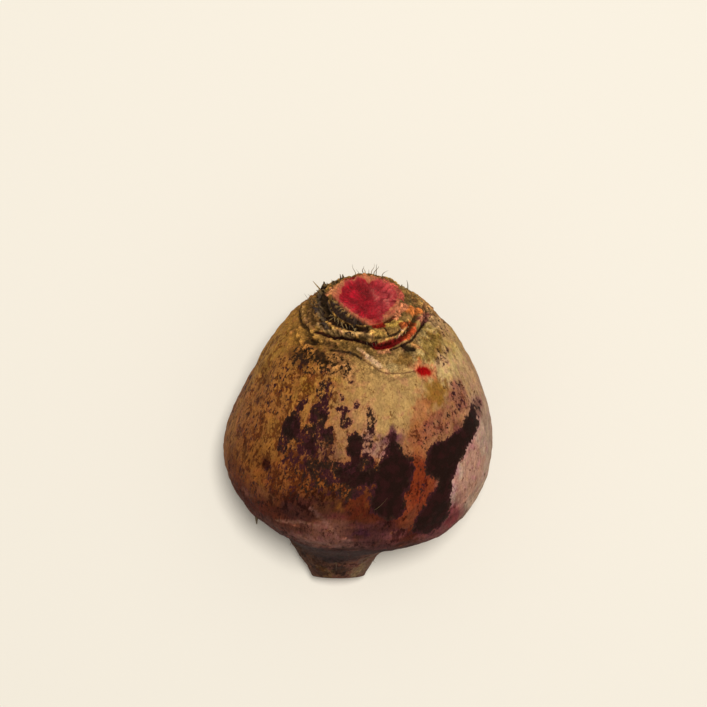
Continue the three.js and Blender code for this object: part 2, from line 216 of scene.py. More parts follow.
# ridges, crevices, tears and scars drawn as lines: places as angle and station, half width, height (mm),
# colour, strength. Lines in crevices, hollows and pits carry painted shade, and some on lips and ridges
# a painted highlight.
DRAWN_LINES = [
    # left of the cut: brown wood, a ridge with its crevice, and a hollow with grey ridges in it; the
    # crevice and the hollow are painted dark as shade, the grey ridges lighter as highlights
    ([(206, 4.4), (190, 4.4), (172, 3.9), (160, 4.6)], 1.5, 0.0, (96, 66, 36), 0.8),
    ([(216, 7.4), (206, 7.0), (194, 6.6), (178, 5.8), (166, 5.4)], 0.36, 0.45, (122, 90, 50), 0.8),
    ([(208, 8.1), (194, 7.5), (178, 6.7), (166, 6.3)], 0.3, -0.35, (48, 32, 18), 0.8),
    ([(215, 4.5), (200, 2.6), (189, 1.6), (172, 1.2), (156, 1.2)], 1.1, -0.45, (27, 18, 10), 0.95),
    ([(200, 3.2), (186, 2.4), (176, 2.3), (164, 2.6)], 0.36, 0.45, (74, 60, 44), 0.75),
    ([(184, 0.6), (170, 0.5), (158, 0.5), (150, 0.8)], 0.3, 0.35, (74, 56, 42), 0.7),
    # in front of the cut: the nearest leaf base, its lip painted light as a highlight, and the hollow
    # behind it and the crevice under it, painted dark as shade
    ([(158, 3.7), (147, 3.3), (131, 2.7), (118, 2.2), (109, 2.0), (100, 1.6), (91, 1.6), (82, 2.3)],
     0.42, 0.6, (140, 108, 66), 0.85),
    ([(150, 1.6), (143, 1.0), (132, 1.0), (120, 0.7), (108, 0.6), (96, 0.8), (88, 0.9)],
     0.72, -0.6, (30, 14, 7), 0.95),
    ([(150, 5.0), (143, 4.2), (134, 3.9), (119, 2.9), (105, 2.6), (93, 2.8), (82, 3.4), (76, 3.2)],
     0.34, -0.5, (44, 13, 12), 0.92),
    # the fresh tear, red and then orange, and the crevice below it, painted dark as shade
    ([(81, 3.9), (72.8, 4.0), (64, 4.1), (56, 4.0)], 0.62, -0.45, (92, 12, 14), 0.9),
    ([(78, 4.3), (71, 4.5), (63, 4.6), (54, 4.45)], 0.46, -0.2, (160, 22, 22), 0.95),
    ([(56, 4.2), (49, 4.25), (42.4, 4.3)], 0.6, -0.2, (150, 34, 30), 0.9),
    ([(42, 4.5), (36, 4.5), (27, 4.6)], 0.66, 0.1, (158, 60, 28), 0.9),
    ([(65, 5.4), (57, 5.4), (48, 5.4), (39, 5.7), (27, 5.4), (17, 5.6), (5, 6.1)],
     0.24, -0.35, (46, 22, 13), 0.9),
    # right of the cut: olive knobs, their crevice painted dark as shade, an orange fold, a pale flap, a
    # small painted highlight and a loose fibre
    ([(81, 1.4), (70, 1.7), (63, 1.9)], 0.62, 0.5, (156, 120, 58), 0.9),
    ([(57, 0.5), (49, 1.1), (38, 1.5)], 0.76, 0.55, (164, 128, 58), 0.92),
    ([(62, 1.2), (60, 2.8), (52, 3.1), (44, 2.9)], 0.26, -0.5, (46, 26, 15), 0.9),
    ([(16, 1.9), (4, 3.0), (0, 4.3)], 1.05, 0.5, (184, 102, 46), 0.92),
    ([(38, 0.4), (22, 0.15), (6, 0.8)], 0.8, 0.5, (188, 114, 76), 0.92),
    ([(40, 2.3), (32, 2.8), (22, 3.8)], 0.6, -0.15, (132, 58, 24), 0.9),
    ([(43.6, 2.7), (40.6, 3.5)], 0.17, 0.1, (176, 132, 104), 0.6),
    ([(51, 3.7), (44, 3.6)], 0.14, 0.1, (190, 130, 104), 0.8),
    # a hole below the tear, painted dark as shade, its lip, and purple and pale streaks on the right
    ([(50, 5.7), (46.6, 6.4), (43, 7.2)], 0.68, -0.6, (32, 18, 15), 0.85),
    ([(41, 6.4), (39, 7.6)], 0.4, 0.35, (140, 96, 54), 0.8),
    ([(13, 5.2), (0, 6.6)], 0.3, 0.0, (100, 52, 52), 0.8),
    ([(5, 5.0), (354, 6.6)], 0.3, 0.1, (160, 110, 96), 0.7),
    ([(356, 6.2), (350, 7.8)], 0.35, 0.0, (96, 54, 54), 0.7),
    # the pale scar, whose light colour is partly a painted highlight along its ridge, the pink lip under
    # the tear, and a dark line sunk on each side of the scar, painted dark as shade
    ([(98, 4.4), (92.4, 5.0), (87.6, 6.1)], 0.36, 0.25, (176, 138, 92), 0.75),
    ([(88, 6.1), (85, 6.7), (81, 7.7), (78.4, 8.3)], 0.62, 0.12, (198, 160, 118), 0.85),
    ([(77, 5.3), (72, 5.6), (66, 5.5)], 0.4, 0.15, (176, 114, 76), 0.7),
    ([(94, 6.3), (86.4, 7.7), (81.6, 8.7), (76.8, 9.8), (69.2, 10.4), (62, 10.9), (54, 11.3)],
     0.15, -0.15, (92, 56, 38), 0.85),
    ([(124, 6.1), (119.6, 5.9), (114, 5.7), (104.8, 5.4), (97.2, 6.0), (93.2, 6.6)],
     0.28, -0.35, (54, 36, 22), 0.85),
    # pits on the left shoulder, painted dark as shade, and a ridge at the back
    ([(133, 7.8), (127, 8.2), (122, 8.6)], 0.8, -0.35, (32, 21, 13), 0.85),
    ([(150, 7.4), (142, 6.4)], 0.6, -0.2, (44, 30, 18), 0.7),
    ([(326, 8.4), (331, 8.9), (340, 8.7)], 0.5, 0.2, (146, 104, 58), 0.8),
    # the torn rim round the back of the cut, from red to tan
    ([(236, 0.5), (250, 0.3), (264, 0.3)], 0.7, 0.0, (150, 28, 38), 0.85),
    ([(266, 0.3), (278, 0.5), (292, 0.5)], 0.8, 0.1, (200, 122, 78), 0.9),
    ([(292, 0.3), (306, 0.4), (322, 0.4)], 0.7, 0.1, (196, 92, 72), 0.85),
    ([(322, 0.3), (338, 0.5), (352, 0.5)], 0.8, 0.0, (190, 82, 68), 0.85),
    ([(200, 0.4), (212, 0.5), (230, 0.5)], 0.8, 0.1, (204, 130, 82), 0.85),
    # the nick in the cut's front edge, and the outermost ridges
    ([(77, 0.2), (69, 0.4), (60, 0.4)], 0.45, -0.4, (138, 14, 14), 0.9),
    ([(57, 0.2), (47, 0.3), (37, 0.2)], 0.3, -0.5, (74, 20, 12), 0.85),
    ([(212, 8.5), (218, 7.8), (219, 6.8)], 0.8, 0.1, (104, 64, 38), 0.8),
    ([(14, 4.6), (2, 5.6), (352, 6.6)], 0.7, 0.2, (122, 66, 52), 0.7),
    # folds of the foot
    ([(110.4, 48.3), (107.2, 49.6), (102.4, 52.8), (98, 56.8), (92.8, 59)], 0.6, 0.1, (116, 80, 70), 0.35),
    ([(126, 57.4), (121.2, 56.3), (113.6, 53.9), (106.4, 53.7)], 0.55, 0.08, (114, 80, 64), 0.5),
    ([(116, 63.4), (110, 61.6), (104, 60.9), (97, 61.8)], 0.5, 0.08, (118, 84, 76), 0.5),
    ([(107, 65.6), (100, 64), (94, 64.6)], 0.5, -0.12, (54, 24, 20), 0.6)]

# the middle of the fresh red tear between two leaf bases, where the surface is smooth
WET_GROOVE = [(80, 4.1), (64, 4.4), (50, 4.4), (36, 4.5), (24, 4.3), (10, 2.4), (0, 4.0)]
WET_REACH = 1.3

# where the raw flesh of the knife cut ends on its way out to the rim: angle, share of the way
FLESH_EDGE = [
    (0, 0.98), (8, 0.96), (25, 0.93), (44, 0.86), (54, 0.90), (66, 1.0), (79, 0.98), (90, 0.80),
    (113, 0.64), (142, 0.58), (165, 0.64), (180, 0.76), (191, 0.90), (205, 1.0), (262, 1.0), (284, 0.96),
    (298, 1.0), (340, 1.0), (360, 0.98)]

# bare, nearly black skin where no cork has formed. Two patches are drawn by their outlines, as
# angle and station ...
DARK_SHAPES = [
    [(74.4, 25.1), (73.2, 28.0), (70.4, 31.5), (67.0, 34.4), (65.6, 36.8), (68.6, 40.8), (71.0, 44.2),
     (70.4, 47.4), (70.8, 50.6), (74.5, 52.2), (78.5, 51.6), (82.5, 50.2), (85.6, 48.2), (86.4, 44.5),
     (85.8, 42.1), (85.2, 38.0), (84.2, 34.3), (80.6, 30.5), (78.4, 27.7), (76.4, 25.6)],
    [(58.6, 33.0), (55.6, 31.6), (49.6, 31.8), (43.6, 31.8), (36.4, 31.4), (29.6, 29.8), (23.5, 28.6),
     (20.0, 30.4), (23.5, 34.9), (30.0, 37.5), (36.8, 38.6), (42.4, 41.7), (46.4, 44.2), (47.2, 47.1),
     (47.6, 51.2), (48.6, 54.6), (49.6, 58.8), (54.0, 61.2), (61.0, 61.0), (67.4, 59.0), (65.4, 54.0),
     (62.4, 50.6), (59.4, 47.6), (56.2, 45.4), (53.8, 44.2), (54.6, 42.8), (58.0, 41.0), (61.2, 39.0),
     (62.4, 36.8), (61.0, 34.6)]]

# ... and the others as ellipses with a fill: 1 is solid, 0 leaves as many flecks as gaps
DARK_PATCHES = [
    (116.4, 20.4, 2.3, 4.8, -4, 0.13), (117.6, 14.4, 2.2, 2.8, 0, 0.0), (115.4, 24.4, 2.0, 2.8, 0, 0.08),
    (131.0, 27.2, 3.0, 4.2, -18, 0.3), (128.0, 20.6, 1.5, 3.4, -20, 0.06), (133.6, 32.5, 2.2, 3.8, 0, 0.1),
    (119.4, 29.4, 3.6, 4.6, -8, 0.1), (111.6, 30.4, 3.8, 3.8, 0, -0.01), (110.0, 26.0, 2.1, 2.4, 0, 0.12),
    (117.6, 31.2, 2.1, 2.8, 0, 0.3), (124.5, 32.0, 4.6, 3.6, 0, 0.0), (102.2, 18.6, 2.1, 1.0, 0, 0.09),
    (100.2, 22.0, 1.7, 1.9, 0, 0.09), (101.6, 20.4, 1.1, 2.4, 0, 0.04), (94.6, 17.7, 1.0, 1.0, 0, 0.02),
    (99.6, 10.6, 1.4, 0.8, 0, -0.02), (105.6, 15.2, 1.2, 0.9, 0, 0.0), (95.4, 30.0, 2.2, 4.8, -9, 0.4),
    (96.0, 36.4, 4.8, 3.0, 0, 0.3), (89.0, 37.4, 4.4, 3.2, 0, 0.4), (104.0, 36.4, 8.5, 3.2, 0, 0.08),
    (116.0, 37.0, 9.0, 4.0, 0, -0.01), (86.8, 21.4, 1.5, 3.4, 0, 0.03), (88.4, 26.0, 2.6, 3.4, 0, -0.07),
    (88.6, 33.4, 3.0, 3.4, 0, 0.13), (100.0, 40.6, 10.0, 3.0, 0, 0.0), (124.0, 43.5, 9.0, 4.4, 0, -0.1),
    (28.5, 23.6, 3.4, 3.8, 0, -0.08), (118.0, 8.8, 6.0, 2.2, 0, -0.03), (138.0, 10.4, 6.0, 2.6, 0, -0.02),
    (150.0, 20.0, 7.0, 7.0, 0, -0.12), (162.0, 33.0, 7.0, 9.0, 0, -0.13), (50.0, 27.4, 6.0, 2.8, 0, -0.13),
    (61.0, 29.0, 3.0, 3.2, 0, -0.14), (24.0, 12.6, 4.0, 2.0, 0, -0.08), (148.0, 54.0, 9.0, 5.0, 0, -0.12),
    (36.0, 26.0, 4.0, 2.4, 20, -0.12), (18.0, 31.6, 3.0, 2.8, 0, -0.03), (64.5, 42.0, 3.0, 9.0, 0, -0.13),
    (352.0, 10.0, 6.0, 4.0, 0, -0.11), (228, 44, 5, 15, 10, 0.2), (240, 38, 3, 9, -8, 0.06),
    (234, 50, 8, 10, 0, -0.02), (262, 54, 11, 14, -8, 0.5), (252, 40, 3, 8, 6, 0.05),
    (268, 38, 3.4, 11, -6, 0.12), (284, 40, 3, 14, 5, 0.2), (290, 52, 10, 12, 0, 0.04),
    (276, 60, 22, 8, 0, -0.02), (312, 44, 2.6, 9, -10, 0.1), (318, 52, 7, 8, 0, -0.05),
    (304, 34, 2, 6, 8, 0.02), (204, 54, 5, 9, 12, 0.0), (212, 60, 9, 8, 0, -0.04),
    (216, 30, 3, 7, 12, -0.02), (300, 24, 5, 6, 0, -0.1), (244, 22, 8, 6, 0, -0.1),
    (192, 40, 6, 8, 0, -0.1), (332, 30, 6, 6, 0, -0.12), (90, 72, 9, 3, 0, -0.1), (60, 72, 8, 4, 0, -0.12),
    (130, 68, 9, 4, 0, -0.1), (200, 74, 12, 6, 0, -0.08), (300, 76, 12, 6, 0, -0.1)]
DARK_EDGE = 4.2  # mm from the edge of a drawn patch to where it counts as fully inside or outside

# how densely dark flecks lie: angle, station, reach round in degrees, reach along (mm), more or less
SPECKLED = [
    (112, 36, 26, 8, 0.3), (84, 27, 8, 5, 0.4), (28, 24, 10, 6, 0.35), (118, 14, 14, 5, 0.2),
    (76, 15, 20, 8, -0.12), (8, 44, 26, 20, -0.12), (108, 45, 20, 6, 0.15), (30, 9, 20, 3, 0.3),
    (50, 28, 10, 3, 0.3), (90, 84, 40, 20, 0.35), (112, 100, 30, 9, 0.3), (66, 40, 7, 12, 0.3),
    (74, 58, 6, 4, 0.3), (352, 10, 24, 6, 0.3), (82, 8, 6, 2.4, -0.5)]

# where the pale rim of the cut is broad: angle, reach in degrees, how much broader (mm)
BROAD_RIM = [(210, 20, 3.0), (276, 13, 3.0), (26, 20, 3.0), (118, 20, 0.9), (158, 20, -1.4)]
RIM_BREADTH = 1.3

# the raw flesh of the cut, and the fibres beyond it
FLESH_RED = (150, 14, 28)
FLESH_DEEP = (100, 10, 12)
FLESH_BRIGHT = (176, 12, 34)
FLESH_FADED = (166, 56, 58)
FLESH_PINK = (184, 66, 62)
# paler pink painted on the crests of the cut's folds as a highlight
FLESH_RIDGE_HIGHLIGHT = (196, 108, 92)
FLESH_DRIED = (222, 150, 128)
RIM_TAN = (178, 106, 68)
RIM_PINK = (168, 74, 56)
RIM_TORN = (186, 84, 58)
NICK_RED = (134, 16, 14)
FIBRE_BROWN = (124, 80, 44)
FIBRE_BLACK = (30, 17, 9)
TOOTH_TAN = (150, 112, 60)
TAP_PALE_RING = (136, 62, 66)
TAP_DARK_RING = (96, 30, 42)
TAP_BARK = (120, 88, 64)

# wood of the crown, and what grows on the skin
WOODY = (110, 80, 38)
# dark brown painted into the leaf bases' crevices as shade
CREVICE_PAINTED_SHADE = (34, 21, 13)
DRY_DARK = (44, 33, 22)
DRY_TAN = (146, 116, 66)
DRY_SPOT = (34, 24, 16)
SHEATH_BROWN = (50, 33, 23)
ROOTLET_BROWN = (104, 78, 54)

# bare skin, well inside a patch and near its edge
PLUM_BLACK = (29, 12, 8)
PLUM_RED = (42, 15, 14)
EDGE_BROWN = (46, 29, 20)
EDGE_PLUM = (63, 26, 31)
BARE_WOOD = (46, 31, 17)
DUST = (96, 66, 56)

# stains on the cork: what they leave of red, green and blue
ROSY_STAIN = (0.96, 0.76, 1.0)
GOLDEN_STAIN = (1.12, 1.06, 0.74)
OLIVE_STAIN = (0.74, 0.80, 0.62)
THIN_STAIN = (1.0, 0.78, 1.02)
PALE_STAIN = (1.42, 1.40, 1.42)
FLECK_STAIN = (0.34, 0.22, 0.18)
TINY_FLECK_STAIN = (0.48, 0.38, 0.34)

FLOOR_CREAM = (231, 224, 210)
FLOOR_CREAM_PALE = (233, 226, 212)

# Camera, light and floor

PICTURE_WIDTH = 707  # pixels
PIXEL = 0.318  # mm on the root's widest level
CAMERA_RISE = 600.0  # mm above that level
CAMERA_SHIFT = (-1.0, 27.5)  # mm from the middle of the root's own axis, seen from above
SENSOR_WIDTH = 36.0
ROOM_COLOUR = (1.0, 0.985, 0.96, 1.0)
ROOM_STRENGTH = 0.36
SOFTBOX_PLACE = (0.09, 0.17, 1.32)
SOFTBOX_AIM = (0.0, 0.0, 0.03)
SOFTBOX_SIZE = 0.26
SOFTBOX_POWER = 14.6
SOFTBOX_COLOUR = (1.0, 0.995, 0.985)
FLOOR_HALF = 5000.0
FLOOR_LEVEL = -0.1

# Helpers for whole arrays


def ease(x, low, high):
    """Rises from 0 at low to 1 at high and is level at both: u * u * (3 - 2u)."""
    u = np.clip((x - low) / (high - low), 0.0, 1.0)
    return u * u * (3.0 - 2.0 * u)


def band(x, low, full, leaving, gone):
    """Rises from 0 at low to 1 at full, and falls from 1 at leaving to 0 at gone."""
    return ease(x, low, full) * (1 - ease(x, leaving, gone))


def way_round(angle, middle):
    """The signed way from middle (degrees) to angle (radians), in degrees, between -180 and 180."""
    return (np.degrees(angle) - middle + 180.0) % 360.0 - 180.0


def round_about(angle, middle, reach):
    """1 at the middle angle, falling as exp(-(way round / reach)^2), in degrees."""
    return np.exp(-(way_round(angle, middle) / reach) ** 2)


def mound(station, angle, middle, level, half_round, half_along):
    """1 at a place on the root, falling as exp(-(way round)^2 - (way along)^2)."""
    return np.exp(-(way_round(angle, middle) / half_round) ** 2 - ((station - level) / half_along) ** 2)


def lattice(place, seed):
    """Smooth noise between -1 and 1: values at whole-number corners, scrambled from the corner and
    the seed, and blended by u * u * u * (u * (6u - 15) + 10) along each of the three directions."""
    corner = np.floor(place).astype(np.int64)
    part = place - corner
    fade = part ** 3 * (part * (part * 6.0 - 15.0) + 10.0)
    total = np.zeros(place.shape[:-1])
    for dx in (0, 1):
        for dy in (0, 1):
            for dz in (0, 1):
                x, y, z = np.moveaxis((corner + np.array([dx, dy, dz])) * CORNER_PRIMES, -1, 0)
                mix = x ^ y ^ z ^ (seed * SEED_PRIME)
                mix = ((mix ^ (mix >> 13)) * MIXERS[0]) & 0xFFFFFFFF
                mix = ((mix ^ (mix >> 15)) * MIXERS[1]) & 0xFFFFFFFF
                value = ((mix ^ (mix >> 16)) & 0xFFFFFF) / 8388607.5 - 1.0
                weight = np.ones_like(total)
                for axis, far in enumerate((dx, dy, dz)):
                    weight = weight * (fade[..., axis] if far else 1.0 - fade[..., axis])
                total = total + value * weight
    return total


def cloudy(place, size, seed):
    """Three layers of lattice noise, each half as large and half as strong as the one before, made
    stronger by 1.6: about -1 to 1, with features of size mm. size may be three numbers, for noise
    drawn out along the root."""
    total = 0.0
    for layer in range(3):
        total = total + lattice(place / np.asarray(size, float) * 2 ** layer, seed + layer) / 2 ** layer
    return total / 1.75 * 1.6


def outline_at(share):
    """Station and radius at a share of the way through the outline's points: a uniform Catmull-Rom
    curve through them, with the end points repeated."""
    spans = len(OUTLINE) - 1
    along = np.clip(share, 0.0, 1.0) * spans
    i = np.minimum(along.astype(int), spans - 1)
    w = (along - i)[..., None]
    before, start, end, after = (OUTLINE[np.clip(i + k, 0, spans)] for k in (-1, 0, 1, 2))
    leave, arrive = (end - before) / 2.0, (after - start) / 2.0
    point = ((2 * start - 2 * end + leave + arrive) * w + (-3 * start + 3 * end - 2 * leave - arrive)) * w
    point = (point + leave) * w + start
    return point[..., 0], point[..., 1]


def width_at(station):
    """The radius at a station, on straight lines between the outline's points."""
    return np.interp(station, OUTLINE[:, 0], OUTLINE[:, 1])


def share_at(station):
    """The share of the way through the outline where a station lies, read off its fine points."""
    shares = np.linspace(0.0, 1.0, 3001)
    return np.interp(station, outline_at(shares)[0], shares)


def lobes(station, angle, radius):
    """Broad lobes of the globe, a small share of its radius, and soft furrows down from the leaf bases."""
    body, shoulder = band(station, 2, 20, 92, 112), band(station, 8, 16, 24, 46)
    share = (0.009 * np.sin(2 * angle + 0.5) + 0.007 * np.sin(3 * angle + 0.03 * station)
             + 0.005 * np.sin(5 * angle - 0.05 * station + 1.3))
    return body * share * radius + shoulder * 0.28 * np.sin(13 * angle + 2.1 * np.sin(2 * angle))


def swellings(station, angle):
    """The sum of bumps and hollows."""
    height = 0.0
    for middle, level, rise, half_round, half_along in SWELLINGS:
        height = height + rise * mound(station, angle, middle, level, half_round, half_along)
    return height


def leaf_bases(station, angle, wander=0.0):
    """Crescents round the crown: each swells gently from the crown side, ends in a lip, and drops into
    a crevice behind it. Gives the highest lip and the deepest crevice; wander frays the lip's edge."""
    lip = np.zeros(np.broadcast(station, angle).shape)
    crevice = lip.copy()
    for middle, level, span, bend, tall, deep in LEAF_BASES:
        turn = way_round(angle, middle) / span
        taper = np.cos(np.clip(turn, -1, 1) * np.pi / 2) ** 0.7 * (np.abs(turn) < 1)
        past = station - (level - bend * turn ** 2 + 0.35 * np.sin(5 * angle + middle)) - wander
        rise = np.exp(-(past / np.where(past < 0, LIP_ABOVE, LIP_BELOW)) ** 2)
        drop = np.exp(-((past - 1.9 * LIP_BELOW) / CREVICE_WIDTH) ** 2)
        lip = np.maximum(lip, tall * taper * rise)
        crevice = np.maximum(crevice, deep * taper * drop)
    return lip, crevice


def root_point(share, angle, relief):
    """The skin's point in mm: relief stands square to the outline, rings near the crown lean with its
    cut, the crown and the tap root sit aside of the belly, and the tap root bends along the surface."""
    station, radius = outline_at(share)
    (s0, r0), (s1, r1) = outline_at(share - 1e-4), outline_at(share + 1e-4)
    run, climb = s1 - s0, r1 - r0
    length = np.hypot(run, climb)
    slant = CROWN_SLANT * radius * np.sin(angle) * (1 - ease(station, 0, CROWN_SLANT_FADES))
    out = radius + relief * run / length
    back = station + slant - relief * climb / length
    aside = CROWN_ASIDE * (1 - ease(station, 30, 60)) + TAP_ASIDE * ease(station, 66, 98)
    bend = TAP_BEND * np.clip((station - 84) / 30, 0, 2) ** 2
    point = ((BELLY_STATION - back)[..., None] * ALONG + (aside + out * np.cos(angle))[..., None] * ACROSS
             + (bend + out * np.sin(angle))[..., None] * UPPER)
    return point + np.array([-PLAN_MIDDLE[0], -PLAN_MIDDLE[1], BELLY_HEIGHT])


def coarse_relief(share, angle):
    """The relief without its fine layers, which is nearly the solid's."""
    station, radius = outline_at(share)
    lip, crevice = leaf_bases(station, angle)
    return lobes(station, angle, radius) + swellings(station, angle) + lip - crevice


def trim_share(angle):
    """Where along the outline the skin meets the tap root's upright cut, found by halving."""
    low, high = np.full(angle.shape, 0.7), np.ones(angle.shape)
    for _ in range(24):
        middle = (low + high) / 2
        inside = root_point(middle, angle, coarse_relief(middle, angle))[..., 1] > TRIM_Y - PLAN_MIDDLE[1]
        low, high = np.where(inside, middle, low), np.where(inside, high, middle)
    return high


def inside_mark(station, angle, middle, level, half_round, half_along, lean):
    """How far inside an ellipse on the skin a place lies: 1 in its middle, 0 on its edge, -1 well out."""
    across, along = np.radians(way_round(angle, middle)) * width_at(level), station - level
    c, s = np.cos(np.radians(lean)), np.sin(np.radians(lean))
    far = np.hypot((across * c + along * s) / half_round, (along * c - across * s) / half_along)
    return np.clip(1.0 - far, -1.0, 1.0)


# Meshes


def make_mesh(name, points, faces, materials, values=None, face_materials=None):
    """A smooth mesh from points in mm and faces, with named values on its points."""
    mesh = bpy.data.meshes.new(name)
    mesh.from_pydata((points * MM).tolist(), [], faces)
    for value_name, numbers in (values or {}).items():
        numbers = np.asarray(numbers, np.float32)
        if numbers.ndim == 1:
            layer = mesh.attributes.new(value_name, "FLOAT", "POINT")
            layer.data.foreach_set("value", numbers)
        elif value_name.endswith("tone"):
            layer = mesh.attributes.new(value_name, "FLOAT_COLOR", "POINT")
            layer.data.foreach_set("color", np.c_[numbers, np.ones(len(numbers))].ravel())
        else:
            layer = mesh.attributes.new(value_name, "FLOAT_VECTOR", "POINT")
            layer.data.foreach_set("vector", numbers.ravel())
    for material in materials:
        mesh.materials.append(material)
    if face_materials is not None:
        mesh.polygons.foreach_set("material_index", face_materials)
    mesh.polygons.foreach_set("use_smooth", np.ones(len(mesh.polygons), bool))
    mesh.update()
    piece = bpy.data.objects.new(name, mesh)
    bpy.context.collection.objects.link(piece)
    return piece


def ring_faces(rows, columns, first=0):
    """Quads between neighbouring rings, each ring joined to itself."""
    row, column = np.meshgrid(np.arange(rows - 1), np.arange(columns), indexing="ij")
    here, beside = first + row * columns + column, first + row * columns + (column + 1) % columns
    return np.stack([here, beside, beside + columns, here + columns], -1).reshape(-1, 4)


def sheet_faces(rows, columns, first=0):
    """Quads of an open sheet of points."""
    row, column = np.meshgrid(np.arange(rows - 1), np.arange(columns - 1), indexing="ij")
    here = first + row * columns + column
    return np.stack([here, here + columns, here + columns + 1, here + 1], -1).reshape(-1, 4)


def fan_faces(centre, first, columns, outward):
    """Triangles from a centre point to a ring."""
    column = np.arange(columns)
    here, beside = first + column, first + (column + 1) % columns
    middle = np.full(columns, centre)
    return np.stack([middle, beside, here] if outward else [middle, here, beside], -1)


def tubes(paths, radii, sides):
    """Closed tubes along paths. paths is (count, rings, 3) and radii (count, rings): ring r of a tube
    is path + radius * (cos, sin) on two directions square to the path's chord."""
    count, rings, _ = paths.shape
    chord = paths[:, -1] - paths[:, 0]
    chord /= np.linalg.norm(chord, axis=-1, keepdims=True)
    first = np.cross(chord, np.where(np.abs(chord[:, :1]) < 0.8, [[1.0, 0, 0]], [[0, 1.0, 0]]))
    first /= np.linalg.norm(first, axis=-1, keepdims=True)
    second = np.cross(chord, first)
    turn = np.arange(sides) * 2 * np.pi / sides
    circle = (np.cos(turn)[:, None] * first[:, None, :] + np.sin(turn)[:, None] * second[:, None, :])
    body = paths[:, :, None, :] + radii[:, :, None, None] * circle[:, None, :, :]
    each = rings * sides + 2
    points = np.concatenate([paths[:, :1], body.reshape(count, -1, 3), paths[:, -1:]], axis=1)
    quads, ends = [], []
    for k in range(count):
        start = k * each + 1
        quads.append(ring_faces(rings, sides, start))
        ends.append(fan_faces(start - 1, start, sides, True))
        ends.append(fan_faces(start + rings * sides, start + (rings - 1) * sides, sides, False))
    return points.reshape(-1, 3), np.concatenate(quads).tolist() + np.concatenate(ends).tolist(), each


# The root


def laid_over(tone, colour, cover):
    """A tone with a colour laid over it: a cover of 0 leaves the tone, 1 hides it."""
    return tone + (colour - tone) * cover[..., None]


def skin_tone(station, angle, place, lip, crevice):
    """The ground colour of the skin. Zones are averaged by closeness, exp(-(way round)^2 - (way
    along)^2), with the place shifted by noise so that they run into each other unevenly; then the
    crown's wood, lighter on the leaf bases' lips as a painted highlight, the tinted places, painted
    shade in the crevices and the drawn lines go over it in turn."""
    shift = 2.4 * cloudy(place, 8.0, 11) + 0.8 * cloudy(place, 2.2, 17)
    slide = 2.4 * cloudy(place, 9.0, 23) + 0.9 * cloudy(place, 2.6, 29)
    radius = width_at(station)
    total = np.zeros(station.shape + (3,))
    weights = np.full(station.shape, 1e-9)
    for middle, level, reach_round, reach_along, colour in SKIN_ZONES:
        across = np.radians(way_round(angle, middle)) * radius + shift
        near = np.exp(-(across / reach_round) ** 2 - ((station + slide - level) / reach_along) ** 2)
        total += near[..., None] * paint(*PAINTS[colour])
        weights += near
    tone = total / weights[..., None]
    wood = 1 - ease(station + 0.6 * slide, 4.5, 9.5)
    fibre = cloudy(place, (0.55, 0.55, 2.4), 31)
    # painted highlight: the wood is lighter where a leaf base's lip stands high and darker off it
    woody = paint(*WOODY) * np.exp(0.75 * fibre + 0.5 * np.clip(lip - 0.4, -0.4, 1.0))[..., None]
    tone = laid_over(tone, woody, 0.85 * wood)
    fray = cloudy(place, (1.6, 1.6, 3.0), 37) + 0.45 * cloudy(place, 0.7, 47)
    for middle, level, half_round, half_along, lean, colour, strength in SKIN_TINTS:
        deep = inside_mark(station, angle, middle, level, half_round, half_along, lean)
        tone = laid_over(tone, paint(*colour), strength * ease(deep + 0.42 * fray, -0.22, 0.30))
    # painted shade: the crevices behind the leaf bases are darkened
    tone = laid_over(tone, paint(*CREVICE_PAINTED_SHADE), 0.5 * ease(crevice, 0.25, 0.95))
    torn = cloudy(place, (0.7, 0.7, 1.2), 41)
    shade = np.exp(0.45 * fibre)[..., None]
    for places, half_width, _, colour, strength in DRAWN_LINES:
        cover = strength * ease(near_line(station, angle, places, half_width) + 0.22 * torn, 0.22, 0.55)
        tone = laid_over(tone, paint(*colour) * shade, cover)
    return np.clip(tone, 0, 1)


def standing_proud(relief, reach):
    """How far each place stands above the mean of its surroundings, within reach rows and columns."""
    mean = relief
    for axis in (0, 1):
        total = 0.0
        for step_away in range(-reach, reach + 1):
            if axis:
                total = total + np.roll(mean, step_away, axis=1)
            else:
                total = total + mean[np.clip(np.arange(len(mean)) + step_away, 0, len(mean) - 1)]
        mean = total / (2 * reach + 1)
    return relief - mean


def near_line(station, angle, places, half_width):
    """1 on a drawn line, falling as exp(-(way / half width)^2), way being the way to its closest part."""
    places = np.array(places, float)
    middle = places[:, 0].mean() if np.ptp(places[:, 0]) < 180 else 0.0
    turn = (places[:, 0] - middle + 180) % 360 - 180
    radius = width_at(station)
    nearest = np.full(np.broadcast(station, angle).shape, 1e9)
    for a0, y0, a1, y1 in zip(turn[:-1], places[:-1, 1], turn[1:], places[1:, 1]):
        x, x1 = (np.radians(way) * radius for way in (way_round(angle, middle) - a0, a1 - a0))
        y, y1 = station - y0, y1 - y0
        t = np.clip((x * x1 + y * y1) / (x1 * x1 + y1 * y1), 0, 1)
        nearest = np.minimum(nearest, np.hypot(x - t * x1, y - t * y1))
    return np.exp(-(nearest / half_width) ** 2)


def line_relief(station, angle, fray):
    """The height of the drawn ridges and crevices together, frayed by noise."""
    height = 0.0
    for places, half_width, rise, _, _ in DRAWN_LINES:
        if rise:
            height = height + rise * near_line(station, angle, places, half_width) * (1 + 0.5 * fray)
    return height


